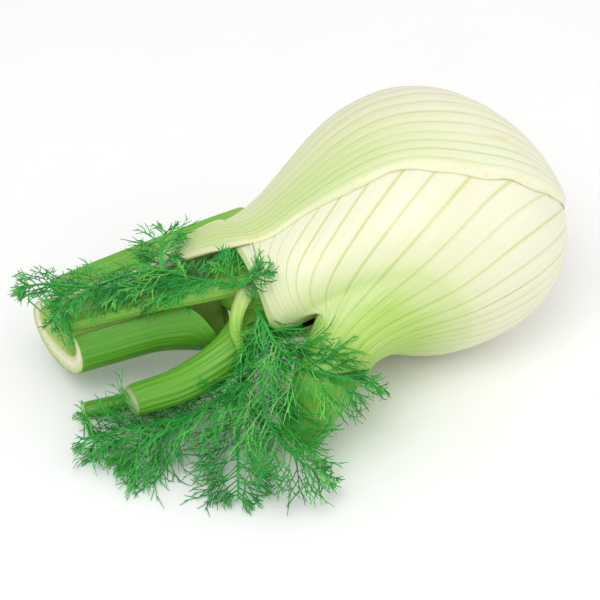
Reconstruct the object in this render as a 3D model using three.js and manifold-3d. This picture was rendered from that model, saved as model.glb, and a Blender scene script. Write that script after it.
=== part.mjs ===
// A trimmed fennel bulb lying on its side: three outer leaves with swollen bases, the inner leaves
// that grow between them, and the feathery fronds.
// Millimetres, +Z up, +X towards the root end, the stalks towards -X, the near side at -Y.
// The origin is the middle of the small flat spot under the bulb on which it rests.
import * as THREE from "three";
import { mergeVertices } from "three/addons/utils/BufferGeometryUtils.js";
import Module from "manifold-3d";

const wasm = await Module();
wasm.setup();

const V = (x, y, z) => new THREE.Vector3(x, y, z);
const DEG = Math.PI / 180;
const lerp = (a, b, t) => a + (b - a) * t;
const clamp01 = (t) => Math.min(1, Math.max(0, t));
const smooth = (t) => clamp01(t) ** 2 * (3 - 2 * clamp01(t));

// The bulb's body
const ROOT_LENGTH = 40; // from the widest section to the root end
const NECK_LENGTH = 62; // from the widest section to the rim of the neck
const HALF_WIDTH = 43;
const HALF_HEIGHT = 40;
const FLAT_DEPTH = 1.5; // how much of the lowest belly the resting flat cuts away
const AXIS_HEIGHT = HALF_HEIGHT - FLAT_DEPTH;
const NECK_HALF_WIDTH = 22;
const NECK_HALF_HEIGHT = 17;
const NECK_DROP = 1;
const NECK_TAPER = 1.15;
const ROOT_SHIFT_Y = -8; // the root end sits a little towards the near side
const ROOT_DROP = 3;
const RIM_ANGLE = 150 * DEG; // polar angle of the neck's rim, seen from the root end

// The leaf bases, by how far they stand off the body's surface
const BASE_THICKNESS = 4.6; // of a leaf base away from its edges
const EDGE_THICKNESS = 0.9;
const BACK_RISE = 1.5;
const BACK_LIFT = 0.75; // underside of the back leaf where the front one runs beneath it
const REAR_RISE = 4;
const REAR_LIFT = 2.7;
const CLEARANCE = 0.35; // kept between one piece and the next
const HEART_SINK = 5.4;
const ROOT_OPENING = 15 * DEG; // where the leaf bases end round the root disc
const RIB_HEIGHT = 0.4;

// Section of the body at a station along X: centre and half sizes. Past the neck it becomes the
// outer face of the back leaf's channelled stalk.
const BACK_END = { x: -113, y: 24, z: 18.8, width: 12.5, height: 9.5 };
function sectionAt(x) {
  if (x >= 0) {
    const s = Math.min(1, x / ROOT_LENGTH);
    const k = Math.sqrt(Math.max(0, 1 - s * s));
    return {
      y: ROOT_SHIFT_Y * s * s,
      z: AXIS_HEIGHT - ROOT_DROP * s * s,
      width: HALF_WIDTH * k,
      height: HALF_HEIGHT * k,
    };
  }
  const t = Math.min(1, -x / NECK_LENGTH);
  const swell = 0.5 * (1 + Math.cos(Math.PI * t ** NECK_TAPER));
  const body = {
    y: 0,
    z: AXIS_HEIGHT - NECK_DROP * t * t,
    width: lerp(NECK_HALF_WIDTH, HALF_WIDTH, swell),
    height: lerp(NECK_HALF_HEIGHT, HALF_HEIGHT, swell),
  };
  if (x >= -NECK_LENGTH) return body;
  const u = clamp01((-x - NECK_LENGTH) / (-BACK_END.x - NECK_LENGTH));
  return {
    y: lerp(body.y, BACK_END.y, u ** 0.9),
    z: lerp(body.z, BACK_END.z, u ** 0.9),
    width: lerp(body.width, BACK_END.width, smooth(u * 1.6)),
    height: lerp(body.height, BACK_END.height, smooth(u * 1.6)),
  };
}

// A polar angle from the root end gives a station, at an even pace across the widest section.
function stationOf(polar) {
  if (polar < Math.PI / 2) return ROOT_LENGTH * Math.cos(polar);
  const past = polar - Math.PI / 2;
  const full = RIM_ANGLE - Math.PI / 2;
  return -(ROOT_LENGTH * past + (NECK_LENGTH - ROOT_LENGTH * full) * (past / full) ** 2);
}

// A point on a section, turned by `turn` from the top towards the near side, `rise` outside it.
function onSection(x, turn, rise) {
  const s = sectionAt(x);
  const y = s.y - (s.width + rise) * Math.sin(turn);
  return V(x, y, s.z + (s.height + rise) * Math.cos(turn));
}

// The body's surface; towards the root end the rise turns to point along X.
function onBody(polar, turn, rise) {
  const p = onSection(stationOf(polar), turn, rise * Math.sin(polar));
  if (polar < Math.PI / 2) p.x += rise * Math.cos(polar);
  return p;
}

// Closed solid from rows; each row is an outer line and an inner line that meet at their ends.
function loftLeaf(rows) {
  const across = rows[0].outer.length;
  const ring = 2 * across;
  const points = rows.flatMap((row) => [...row.outer, ...row.inner.slice().reverse()]);
  const index = [];
  const quad = (a, b, c, d) => index.push(a, b, c, a, c, d);
  for (let i = 0; i + 1 < rows.length; i++)
    for (let j = 0; j < ring; j++) {
      const k = (j + 1) % ring;
      quad(i * ring + j, i * ring + k, (i + 1) * ring + k, (i + 1) * ring + j);
    }
  const last = (rows.length - 1) * ring;
  for (let j = 0; j + 1 < across; j++) {
    const under = ring - 1 - j;
    quad(j, under, under - 1, j + 1);
    quad(last + j, last + j + 1, last + under - 1, last + under);
  }
  return closedSolid(points, index);
}

// Closed round stalk along a smooth curve, with ridges along it
function loftStalk(path, radiusAt, { sides = 12, steps = 12, ridge = 0 } = {}) {
  const curve = new THREE.CatmullRomCurve3(path.map((p) => V(...p)));
  const points = [];
  for (let i = 0; i <= steps; i++) {
    const t = i / steps;
    const along = curve.getTangent(t);
    const side = V(0, 0, 1).cross(along).normalize();
    const over = along.clone().cross(side);
    for (let j = 0; j < sides; j++) {
      const turn = (j / sides) * 2 * Math.PI;
      const r = radiusAt(t) * (1 + (j % 2 === 0 ? ridge : -ridge));
      const p = curve.getPoint(t).addScaledVector(side, r * Math.cos(turn));
      points.push(p.addScaledVector(over, r * Math.sin(turn)));
    }
  }
  const index = [];
  for (let i = 0; i < steps; i++)
    for (let j = 0; j < sides; j++) {
      const k = (j + 1) % sides;
      const here = i * sides;
      index.push(here + j, here + k, here + sides + k);
      index.push(here + j, here + sides + k, here + sides + j);
    }
  const end = steps * sides;
  for (let j = 1; j + 1 < sides; j++) {
    index.push(0, j + 1, j);
    index.push(end, end + j, end + j + 1);
  }
  return closedSolid(points, index);
}

// A closed surface's solid, turned outwards where its rows ran the other way.
function closedSolid(points, index) {
  const geometry = new THREE.BufferGeometry().setFromPoints(points);
  geometry.setIndex(index);
  const made = solidOf(geometry);
  if (made.volume() > 0) return made;
  for (let i = 0; i < index.length; i += 3)
    [index[i + 1], index[i + 2]] = [index[i + 2], index[i + 1]];
  geometry.setIndex(index);
  return solidOf(geometry);
}

function solidOf(geometry) {
  const bare = geometry.clone();
  bare.deleteAttribute("normal");
  bare.deleteAttribute("uv");
  const merged = mergeVertices(bare, 1e-4);
  return new wasm.Manifold(
    new wasm.Mesh({
      numProp: 3,
      vertProperties: new Float32Array(merged.attributes.position.array),
      triVerts: new Uint32Array(merged.index.array),
    }),
  );
}

// What lies above the surface on which the bulb rests
function aboveFloor(solid) {
  const room = new THREE.BoxGeometry(400, 300, 200);
  room.translate(0, 0, 100);
  return solid.intersect(solidOf(room));
}

const largestBody = (solid) =>
  solid.decompose().sort((a, b) => b.volume() - a.volume())[0];

const ridged = (j) => (j % 2 === 0 ? RIB_HEIGHT : -RIB_HEIGHT);

// The back leaf: its base lies over the front one along the top, and its stalk is a thick channel
// that opens upwards. Its edge crosses the top of the bulb at a turn that falls with polar angle.
const BACK_RIBS = 15;
const hump = (distance, width) => Math.exp(-((distance / width) ** 2));
const marginTurn = (polar) =>
  68 * DEG -
  0.43 * polar +
  4.5 * DEG * hump(polar - 84 * DEG, 24 * DEG) +
  5 * DEG * smooth((polar - 136 * DEG) / (12 * DEG));
const BACK_LOW_EDGE = -145 * DEG;
const STALK_TOP_EDGE = -34 * DEG; // the far lip of the channel, at the cut end
const STALK_LOW_EDGE = -314 * DEG; // the near lip
const CHANNEL_FLOOR_EDGE = -205 * DEG; // where that lip starts, low in the neck
const LIP_RISES_AT = 0.14; // where it starts to climb, as a share of the stalk
const LIP_CLIMB = 0.3;
const CUT_SLANT = 0.15; // the cut runs further out on the far side
const CUT_SLANT_FROM = BACK_END.y - 14;
const OVERLAP = 15 * DEG; // how far the front leaf runs on under the back one

function backLeaf() {
  const across = 2 * BACK_RIBS;
  const sheathRows = 14;
  const stalkRows = 9;
  const rows = [];
  for (let i = 0; i <= sheathRows + stalkRows; i++) {
    const s = Math.min(1, i / sheathRows);
    const u = Math.max(0, i - sheathRows) / stalkRows;
    const polar = lerp(ROOT_OPENING, RIM_ANGLE, s);
    const x = lerp(-NECK_LENGTH, BACK_END.x, u);
    const top = lerp(marginTurn(polar), STALK_TOP_EDGE, smooth(u * 1.3));
    const floorEdge = lerp(BACK_LOW_EDGE, CHANNEL_FLOOR_EDGE, smooth(u / LIP_RISES_AT));
    const low = lerp(floorEdge, STALK_LOW_EDGE, smooth((u - LIP_RISES_AT) / LIP_CLIMB));
    const outer = [];
    const inner = [];
    for (let j = 0; j <= across; j++) {
      const w = j / across;
      const turn = lerp(top, low, w);
      const fromEdge = Math.min(top - turn, turn - low);
      const rib = ridged(j) * smooth(fromEdge / (12 * DEG)) * Math.sin(Math.PI * (0.1 + 0.85 * s));
      const overlapped = smooth((fromEdge / OVERLAP - 1.2) / 0.9);
      const sheathUnder = lerp(BACK_LIFT, -BASE_THICKNESS, overlapped);
      const stalkUnder = BACK_RISE - lerp(2.2, 8.5, Math.sin(Math.PI * clamp01(w)) ** 1.5);
      const under = lerp(sheathUnder, stalkUnder, smooth(u * 2));
      const put = (rise) => {
        if (u === 0) return onBody(polar, turn, rise);
        const p = onSection(x, turn, rise);
        p.x -= CUT_SLANT * (p.y - CUT_SLANT_FROM) * smooth((u - 0.7) / 0.3);
        return p;
      };
      outer.push(put(BACK_RISE + rib));
      inner.push(put(under));
    }
    rows.push({ outer, inner });
  }
  return aboveFloor(loftLeaf(rows));
}

// The rear leaf, mostly out of sight on the far side: a narrower base over the back leaf's, and the
// round green stalk that lies behind the channelled one.
const REAR_MIDDLE = -88 * DEG;
const REAR_HALF = 40 * DEG;
const REAR_NECK_TURN = -106 * DEG;
const REAR_STALK = [
  [-44, 31.5, 33.5],
  [-54, 32, 31],
  [-67, 35, 27.5],
  [-82, 38.5, 23.5],
  [-96, 41.5, 20],
  [-107.5, 43.5, 17.5],
];
const REAR_RADIUS = [6.8, 5.8];
const REAR_START = 0.4; // share of the radius with which the stalk leaves its base
const rearRadiusAt = (t) => lerp(...REAR_RADIUS, t) * lerp(REAR_START, 1, smooth(t / 0.2));

function rearLeaf() {
  const across = 16;
  const rowsCount = 14;
  const rows = [];
  for (let i = 0; i <= rowsCount; i++) {
    const s = i / rowsCount;
    const polar = lerp(ROOT_OPENING + 4 * DEG, RIM_ANGLE - 4 * DEG, s);
    const middle = lerp(REAR_MIDDLE, REAR_NECK_TURN, smooth((s - 0.4) / 0.6));
    const half = REAR_HALF * (1 - 0.62 * smooth((s - 0.3) / 0.7));
    const outer = [];
    const inner = [];
    for (let j = 0; j <= across; j++) {
      const w = (2 * j) / across - 1;
      const turn = middle - half * w;
      const crown = 1 - w * w;
      const edge = REAR_LIFT + 0.8;
      outer.push(onBody(polar, turn, lerp(edge, REAR_RISE + 0.8 * s, crown) + 0.6 * ridged(j) * crown));
      inner.push(onBody(polar, turn, REAR_LIFT));
    }
    rows.push({ outer, inner });
  }
  const stalk = loftStalk(REAR_STALK, rearRadiusAt, { sides: 16, ridge: 0.03 });
  return loftLeaf(rows).add(stalk);
}

// The front leaf. Its veins leave the foot of the stalk in a fan, as circles do that pass through
// two points of a ball, and meet again at the root end.
const FRONT_RIBS = 13;
const FRONT_LOW_EDGE = 228 * DEG; // the front leaf's edge under the belly
const FOOT_POLAR = 134 * DEG;
const FOOT_TURN = 108 * DEG;
const FAN_EDGE = 150 * DEG; // how far round the foot the veins reach under the bulb
const WING_EDGE = 171 * DEG; // and on the side towards the top
const FAN_LIMIT = RIM_ANGLE + 3.5 * DEG; // polar angle that the leaf's rim keeps within
const FAN_SOFT = 11 * DEG;
const directionOf = (polar, turn) =>
  V(Math.cos(polar), -Math.sin(polar) * Math.sin(turn), Math.sin(polar) * Math.cos(turn));
const footDirection = directionOf(FOOT_POLAR, FOOT_TURN);
const rootDirection = V(1, 0, 0);
const fanMiddle = footDirection.clone().add(rootDirection).normalize();
const fanAxis = rootDirection.clone().sub(footDirection).normalize();
const fanSide = V(0, 0, 0).crossVectors(fanAxis, fanMiddle).normalize();
const halfFan = footDirection.angleTo(rootDirection) / 2;
const fanShift = (1 - Math.sin(halfFan)) / Math.cos(halfFan);

// Polar angle and turn on the body for an angle from the foot and a fan angle, 0 straight to the
// root and falling towards the top. Near the neck the lines crowd along its rim.
function fanPlace(fromFoot, fan) {
  const onBall = V(0, 0, 0)
    .addScaledVector(fanAxis, -Math.cos(fromFoot))
    .addScaledVector(fanMiddle, Math.sin(fromFoot) * Math.cos(fan))
    .addScaledVector(fanSide, Math.sin(fromFoot) * Math.sin(fan));
  const shift = fanMiddle.clone().multiplyScalar(fanShift);
  const sum = onBall.add(shift);
  const d = sum.multiplyScalar((1 - fanShift ** 2) / sum.lengthSq()).add(shift);
  const start = FAN_LIMIT - FAN_SOFT;
  let polar = Math.acos(THREE.MathUtils.clamp(d.x, -1, 1));
  if (polar > start) polar = FAN_LIMIT - FAN_SOFT * Math.exp((start - polar) / FAN_SOFT);
  return { polar, turn: Math.atan2(-d.y, d.z) };
}

const FRONT_STALK = [
  [-31, -18.5, 39],
  [-39.3, -24.8, 33],
  [-48.1, -30, 27],
  [-56.8, -35.5, 20.5],
  [-62.5, -38.5, 14.5],
  [-67.5, -41.7, 9.5],
];
const frontStalkCurve = new THREE.CatmullRomCurve3(FRONT_STALK.map((p) => V(...p)));
const FRONT_STALK_WIDTH = [13.5, 7.8]; // half sizes at the foot and at the cut
const FRONT_STALK_DEPTH = [15, 6.8];
const LINING_SINK = 0.8; // how far the channel's lips are drawn in, so that they keep some thickness
const CHANNEL_DEPTH = 0.28; // of the groove along the inner side, as a share of the stalk's depth
const FLARE_STARTS = [40 * DEG, 19 * DEG]; // angle from the foot, on the root side and at the edges
const FLARE_ENDS = [0.42, 0.3]; // place along the stalk, on the root side and at the edges
const FLARE_REACH = 0.9;

// The front stalk's skin; `round` is the fan angle, 180 degrees along its channel.
function onFrontStalk(t, round, rise) {
  const along = frontStalkCurve.getTangent(t);
  const channel = V(-0.45, 0.75, 0.35);
  channel.addScaledVector(along, -channel.dot(along)).normalize();
  const across = along.clone().cross(channel).normalize();
  const dent = CHANNEL_DEPTH * hump(Math.PI - Math.abs(round), 34 * DEG);
  return frontStalkCurve
    .getPoint(t)
    .addScaledVector(across, (lerp(...FRONT_STALK_WIDTH, t) + rise) * Math.sin(round))
    .addScaledVector(channel, -(lerp(...FRONT_STALK_DEPTH, t) * (1 - dent) + rise) * Math.cos(round));
}

// A smooth course from the leaf base, left along `lead`, into the stalk, entered along `onward`
function flare(start, lead, end, onward, v) {
  const reach = FLARE_REACH * start.distanceTo(end);
  return V(0, 0, 0)
    .addScaledVector(start, 2 * v ** 3 - 3 * v ** 2 + 1)
    .addScaledVector(lead, reach * (v ** 3 - 2 * v ** 2 + v))
    .addScaledVector(end, 3 * v ** 2 - 2 * v ** 3)
    .addScaledVector(onward, reach * (v ** 3 - v ** 2));
}

function frontLeaf() {
  const across = 2 * FRONT_RIBS;
  const sheathRows = 12;
  const flareRows = 6;
  const stalkRows = 5;
  const rows = [];
  for (let i = 0; i <= sheathRows + flareRows + stalkRows; i++) {
    const s = Math.min(1, i / sheathRows);
    const v = clamp01((i - sheathRows) / flareRows);
    const u = Math.max(0, i - sheathRows - flareRows) / stalkRows;
    const outer = [];
    const inner = [];
    for (let j = 0; j <= across; j++) {
      const w = (2 * j) / across - 1;
      const edge = w < 0 ? WING_EDGE : FAN_EDGE;
      const fan = w * edge;
      const towardsEdge = smooth((Math.abs(fan) - 80 * DEG) / (60 * DEG));
      const fromFoot = lerp(163 * DEG, lerp(...FLARE_STARTS, towardsEdge), s);
      const t = lerp(lerp(...FLARE_ENDS, towardsEdge), 1, u);
      const rib = ridged(j) * smooth((1 - Math.abs(w)) / 0.1) * Math.sin(Math.PI * (0.1 + 0.8 * s));
      const { polar, turn } = fanPlace(fromFoot, fan);
      const above = turn < -Math.PI / 2 ? turn + 2 * Math.PI : turn;
      const fromMargin = above - marginTurn(polar) + OVERLAP;
      const thin = smooth(fromMargin / (25 * DEG)) * smooth((1 - Math.abs(w)) / 0.3);
      const thickness = lerp(EDGE_THICKNESS, BASE_THICKNESS, thin);
      const channelSide = Math.sign(w || 1) * lerp(Math.PI, edge, Math.abs(w));
      const skin = onBody(polar, turn, rib);
      const lining = onBody(polar, turn, -thickness);
      const skinEnd = onFrontStalk(t, fan, rib);
      const liningEnd = onFrontStalk(t, channelSide, -LINING_SINK * Math.abs(w) ** 6);
      if (u > 0) {
        outer.push(skinEnd);
        inner.push(liningEnd);
        continue;
      }
      const ahead = fanPlace(fromFoot - 0.01, fan);
      const here = onBody(polar, turn, 0);
      const lead = onBody(ahead.polar, ahead.turn, 0).sub(here).normalize();
      const onward = frontStalkCurve.getTangent(t);
      outer.push(flare(skin, lead, skinEnd, onward, v));
      inner.push(flare(lining, lead, liningEnd, onward, v));
    }
    rows.push({ outer, inner });
  }
  return aboveFloor(loftLeaf(rows).subtract(farSide()));
}

// The part of the body round which the front leaf doesn't reach, from its edge under the belly
// round the far side to its edge beneath the back leaf
function farSide() {
  const rows = [];
  for (let i = 0; i <= 20; i++) {
    const polar = lerp(6 * DEG, 176 * DEG, i / 20);
    const outer = [];
    const inner = [];
    for (let j = 0; j <= 20; j++) {
      const turn = lerp(FRONT_LOW_EDGE - 2 * Math.PI, marginTurn(polar) - OVERLAP, j / 20);
      outer.push(onSection(stationOf(polar), turn, 8));
      inner.push(onSection(stationOf(polar), turn, -9));
    }
    rows.push({ outer, inner });
  }
  return loftLeaf(rows);
}

// The heart: the packed inner leaf bases, the root disc and the stalks that grow from them
const FOOT_HOLLOW = 13; // room that the heart leaves for the foot of the front stalk
const ROOT_DISC_RADIUS = 8.5;
const ROOT_DISC_END = 40.5;
const MIDDLE_STALK = [
  [-48, -2, 35],
  [-63, -9, 32.5],
  [-76.5, -16, 28],
  [-90.5, -14.5, 20.5],
  [-104, -5, 11],
];
const LOW_STALK = [
  [-50, -2, 36],
  [-61, -5, 29.5],
  [-70, -11, 20],
  [-86, -7, 9],
  [-100, 3, 3.4],
  [-115, 6.5, 2.8],
];
const BENT_STALK = [
  [-61, -6, 41],
  [-66.7, -9.5, 43],
  [-70.5, -13.2, 43.3],
  [-74, -16.6, 41.3],
  [-75.6, -19, 37.5],
  [-75.2, -20.6, 34],
  [-74.8, -21.5, 31],
];
const YOUNG_STALK = [
  [-50, 0, 42],
  [-64, -6, 43.5],
  [-78, -4, 43],
  [-95, 6, 37.2],
  [-116, 20, 26.7],
];

function innerLeaves() {
  const turns = 26;
  const rows = [];
  const ringPoints = (place) =>
    Array.from({ length: turns }, (_, j) => place((j / turns) * 2 * Math.PI));
  for (let i = 0; i <= 14; i++) {
    const polar = lerp(8 * DEG, RIM_ANGLE, i / 14);
    rows.push(
      ringPoints((turn) => {
        const fromFoot = directionOf(polar, turn).angleTo(footDirection);
        const hollow = FOOT_HOLLOW * hump(fromFoot, 28 * DEG);
        return onBody(polar, turn, -HEART_SINK - hollow);
      }),
    );
  }
  const neckClosing = [
    [-65, 13.5, 9],
    [-69, 9.5, 7],
    [-72, 4, 3.5],
  ];
  for (const [x, width, height] of neckClosing)
    rows.push(ringPoints((turn) => V(x, -width * Math.sin(turn), 37.5 + height * Math.cos(turn))));
  const points = rows.flat();
  const index = [];
  for (let i = 0; i + 1 < rows.length; i++)
    for (let j = 0; j < turns; j++) {
      const k = (j + 1) % turns;
      index.push(i * turns + j, i * turns + k, (i + 1) * turns + k);
      index.push(i * turns + j, (i + 1) * turns + k, (i + 1) * turns + j);
    }
  const end = (rows.length - 1) * turns;
  for (let j = 1; j + 1 < turns; j++) {
    index.push(0, j + 1, j);
    index.push(end, end + j, end + j + 1);
  }
  const disc = new THREE.LatheGeometry(
    [
      new THREE.Vector2(0, 28),
      new THREE.Vector2(ROOT_DISC_RADIUS, 28),
      new THREE.Vector2(ROOT_DISC_RADIUS, ROOT_DISC_END - 1.5),
      new THREE.Vector2(ROOT_DISC_RADIUS - 2, ROOT_DISC_END),
      new THREE.Vector2(0, ROOT_DISC_END - 0.6),
    ],
    18,
  );
  disc.rotateZ(-Math.PI / 2);
  disc.translate(0, ROOT_SHIFT_Y, AXIS_HEIGHT - ROOT_DROP);
  return closedSolid(points, index)
    .add(solidOf(disc))
    .add(loftStalk(MIDDLE_STALK, (t) => lerp(6.2, 5, t), { sides: 16, ridge: 0.04 }))
    .add(loftStalk(LOW_STALK, (t) => lerp(3.4, 2.5, t), { sides: 10, ridge: 0.04 }))
    .add(loftStalk(BENT_STALK, (t) => lerp(2.3, 1.2, t), { sides: 8, ridge: 0.04 }))
    .add(loftStalk(YOUNG_STALK, (t) => lerp(3.5, 2.8, t), { sides: 10, ridge: 0.04 }));
}

const group = new THREE.Group();

function addNode(name, solid, colour, roughness) {
  const mesh = solid.getMesh();
  const geometry = new THREE.BufferGeometry();
  geometry.setAttribute("position", new THREE.BufferAttribute(mesh.vertProperties, 3));
  geometry.setIndex(new THREE.BufferAttribute(mesh.triVerts, 1));
  geometry.computeVertexNormals();
  const material = new THREE.MeshStandardMaterial({ color: colour, roughness, metalness: 0 });
  const node = new THREE.Mesh(geometry, material);
  node.name = name;
  group.add(node);
}

const front = frontLeaf();
const back = backLeaf();
const rear = rearLeaf();
const heart = innerLeaves();
addNode("front_leaf", front, 0xeef0dc, 0.45);
addNode("back_leaf", back, 0xe8ecd0, 0.45);
addNode("rear_leaf", rear, 0x64b42d, 0.45);
addNode("inner_leaves", heart, 0xb9d27a, 0.45);

// The fronds. Each is a rib with side branches in two rows, and thread-like leaflets on those.
// `ribs` are the courses of its ribs; every later one starts on an earlier one.
const FRONDS = [
  {
    name: "frond_upper",
    seed: 3,
    branches: 4,
    reach: 9,
    lift: -0.12,
    ribs: [
      [
        [-71.2, -10, 46.8],
        [-77.6, -5, 47.6],
        [-82, 0, 47.2],
        [-87, 7, 46.8],
        [-94, 12, 44.6],
        [-101, 15, 42],
        [-109, 15, 40.5],
        [-117, 13, 39.5],
        [-122.5, 9, 38],
      ],
      [
        [-77.6, -5, 47.6],
        [-87.5, 1, 45.2],
        [-97.2, 8.5, 43],
        [-111.5, 18, 42],
        [-119.4, 24, 41.5],
        [-125.4, 27, 39.8],
      ],
      [
        [-87, 7, 46.8],
        [-84, 14, 47.6],
        [-79, 21, 49],
      ],
    ],
  },
  {
    name: "frond_tufts",
    seed: 5,
    branches: 4,
    reach: 6.5,
    lift: 0.3,
    ribs: [
      [
        [-69.7, -10.5, 47.2],
        [-72.3, -8, 50.2],
        [-74.2, -4, 53],
      ],
      [
        [-69.7, -10.5, 47.2],
        [-66, -13, 50.6],
        [-62, -14.6, 53],
      ],
    ],
  },
  {
    name: "frond_centre",
    seed: 8,
    branches: 6,
    reach: 13.5,
    lift: -0.05,
    ribs: [
      [
        [-67.6, -15.8, 42],
        [-66.8, -19.5, 38.5],
        [-66.5, -27, 35.5],
        [-63, -37, 33],
        [-53.5, -45, 30.5],
        [-42, -45, 24],
      ],
      [
        [-66.8, -19.5, 38.5],
        [-69.5, -25, 34],
        [-74.5, -33, 27],
        [-77, -43, 21],
        [-73, -54, 14],
        [-64, -58, 6.5],
      ],
    ],
  },
  {
    name: "frond_lower",
    seed: 11,
    branches: 6,
    reach: 15,
    lift: -0.1,
    ribs: [
      [
        [-73, -22.5, 22.5],
        [-82, -23.5, 19.5],
        [-92, -21, 13],
        [-102, -14.5, 8.5],
        [-112, -10, 6],
        [-122, -6, 4],
      ],
      [[-92, -21, 13], [-98, -19.5, 8], [-107, -18, 5], [-115, -19, 3]],
    ],
  },
  {
    name: "frond_bottom",
    seed: 14,
    branches: 6,
    reach: 14,
    lift: 0,
    ribs: [
      [
        [-73.5, -24.5, 25.5],
        [-77, -26.5, 18],
        [-81.5, -31, 9],
        [-86, -40, 5],
        [-91, -50, 3.2],
      ],
    ],
  },
];
const RIB_RADIUS = [0.95, 0.5];
const BRANCH_RADIUS = 0.55;
const LEAFLET_RADIUS = 0.42;
const LEAFLETS_PER_BRANCH = 4;
const LEAFLET_LENGTH = 6.5;

// Even, repeatable scatter between 0 and 1
function scatterFrom(seed) {
  let state = seed * 7919 + 11;
  return () => {
    state = (state * 16807) % 2147483647;
    return state / 2147483647;
  };
}

// Three-sided needle from one point to another, its root spread wider by `grow`
function needle(from, to, radius, grow = 0) {
  const along = to.clone().sub(from);
  const length = along.length();
  const cone = new THREE.ConeGeometry(radius + grow, length, 3, 1);
  cone.translate(0, length / 2, 0);
  cone.applyQuaternion(new THREE.Quaternion().setFromUnitVectors(V(0, 1, 0), along.normalize()));
  cone.translate(from.x, from.y, from.z);
  return solidOf(cone);
}

// True where a solid keeps off the leaves, the other fronds and the floor.
function isFree(solid, others) {
  const box = solid.boundingBox();
  if (box.min[2] < CLEARANCE) return false;
  return others.every((other) => {
    const b = other.boundingBox();
    const apart = [0, 1, 2].some((k) => box.max[k] < b.min[k] || b.max[k] < box.min[k]);
    return apart || solid.intersect(other).isEmpty();
  });
}

// A needle lifted until it is free, or null where it stays buried
function freeNeedle(from, aim, radius, others) {
  for (const lift of [0, 0.35, 0.8]) {
    const to = from.clone().add(aim.clone().addScaledVector(V(0, 0, 1), lift * aim.length()));
    if (isFree(needle(from, to, radius, CLEARANCE), others)) return { to, solid: needle(from, to, radius) };
  }
  return null;
}

function makeFrond(frond, others) {
  const next = scatterFrom(frond.seed);
  const made = [];
  for (const rib of frond.ribs) {
    const curve = new THREE.CatmullRomCurve3(rib.map((p) => V(...p)));
    made.push(loftStalk(rib, (t) => lerp(...RIB_RADIUS, t), { sides: 5, steps: 2 * rib.length }));
    for (let i = 0; i < frond.branches; i++) {
      const t = 0.12 + (0.88 * (i + 0.5)) / frond.branches;
      const root = curve.getPoint(t);
      const along = curve.getTangent(t);
      const side = along.clone().cross(V(0, 0, 1)).normalize();
      const hand = i % 2 === 0 ? 1 : -1;
      const aim = along.clone().multiplyScalar(0.75 + 0.3 * next());
      aim.addScaledVector(side, hand * (0.8 + 0.3 * next()));
      aim.addScaledVector(V(0, 0, 1), frond.lift + 0.5 * (next() - 0.5));
      aim.setLength(frond.reach * (0.6 + 0.5 * Math.sin(Math.PI * t) + 0.15 * next()));
      const branch = freeNeedle(root, aim, BRANCH_RADIUS, others);
      if (!branch) continue;
      made.push(branch.solid);
      const stem = branch.to.clone().sub(root);
      const across = stem.clone().cross(V(0, 0, 1)).normalize();
      for (let k = 0; k < LEAFLETS_PER_BRANCH; k++) {
        const at = 0.22 + (0.62 * k) / (LEAFLETS_PER_BRANCH - 1);
        const start = root.clone().addScaledVector(stem, at);
        const leafAim = stem.clone().normalize().multiplyScalar(0.8);
        leafAim.addScaledVector(across, (k % 2 === 0 ? 1 : -1) * (0.6 + 0.3 * next()));
        leafAim.addScaledVector(V(0, 0, 1), 0.7 * (next() - 0.45));
        leafAim.setLength(LEAFLET_LENGTH * (0.75 + 0.5 * next()));
        const leaflet = freeNeedle(start, leafAim, LEAFLET_RADIUS, others);
        if (leaflet) made.push(leaflet.solid);
      }
    }
  }
  return largestBody(wasm.Manifold.union(made));
}

const settled = [front, back, rear, heart];
for (const frond of FRONDS) {
  const solid = makeFrond(frond, settled);
  settled.push(solid);
  addNode(frond.name, solid, 0x2a9a3c, 0.55);
}

export default group;
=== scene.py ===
# %% [markdown]
# # A fennel bulb, trimmed and lying on its side
# A fennel bulb is a packet of leaves that grew from one root disc. Each leaf has a swollen white
# base, a ribbed green stalk and a feathery blade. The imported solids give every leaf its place. This
# lesson lays fine skins over them, one cell at a time, and prints what each cell has made.

import math

import bmesh
import bpy
import numpy as np
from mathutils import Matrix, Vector
from mathutils.bvhtree import BVHTree


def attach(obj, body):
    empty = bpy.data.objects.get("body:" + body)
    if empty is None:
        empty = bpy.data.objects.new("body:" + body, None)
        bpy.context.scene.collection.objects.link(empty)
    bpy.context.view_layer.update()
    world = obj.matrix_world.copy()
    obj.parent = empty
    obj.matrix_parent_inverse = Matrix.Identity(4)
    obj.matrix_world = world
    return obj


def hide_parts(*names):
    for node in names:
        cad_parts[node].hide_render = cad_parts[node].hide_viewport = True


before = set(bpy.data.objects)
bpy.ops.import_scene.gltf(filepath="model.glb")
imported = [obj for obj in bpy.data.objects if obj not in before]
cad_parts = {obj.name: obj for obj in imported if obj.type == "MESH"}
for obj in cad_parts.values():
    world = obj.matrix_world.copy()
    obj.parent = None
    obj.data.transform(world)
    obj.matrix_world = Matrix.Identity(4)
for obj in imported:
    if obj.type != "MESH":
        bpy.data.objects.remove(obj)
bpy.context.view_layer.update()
MM = 0.001
DEG = math.pi / 180
print("nodes:", sorted(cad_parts))

# %% [markdown]
# ## Camera
# The camera comes first, because every later choice is judged through it. It could be placed by
# eye. Here it stands on a sphere round a point in the bulb, at an azimuth, an elevation and a
# distance, so the view can be turned by changing one number.

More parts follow.
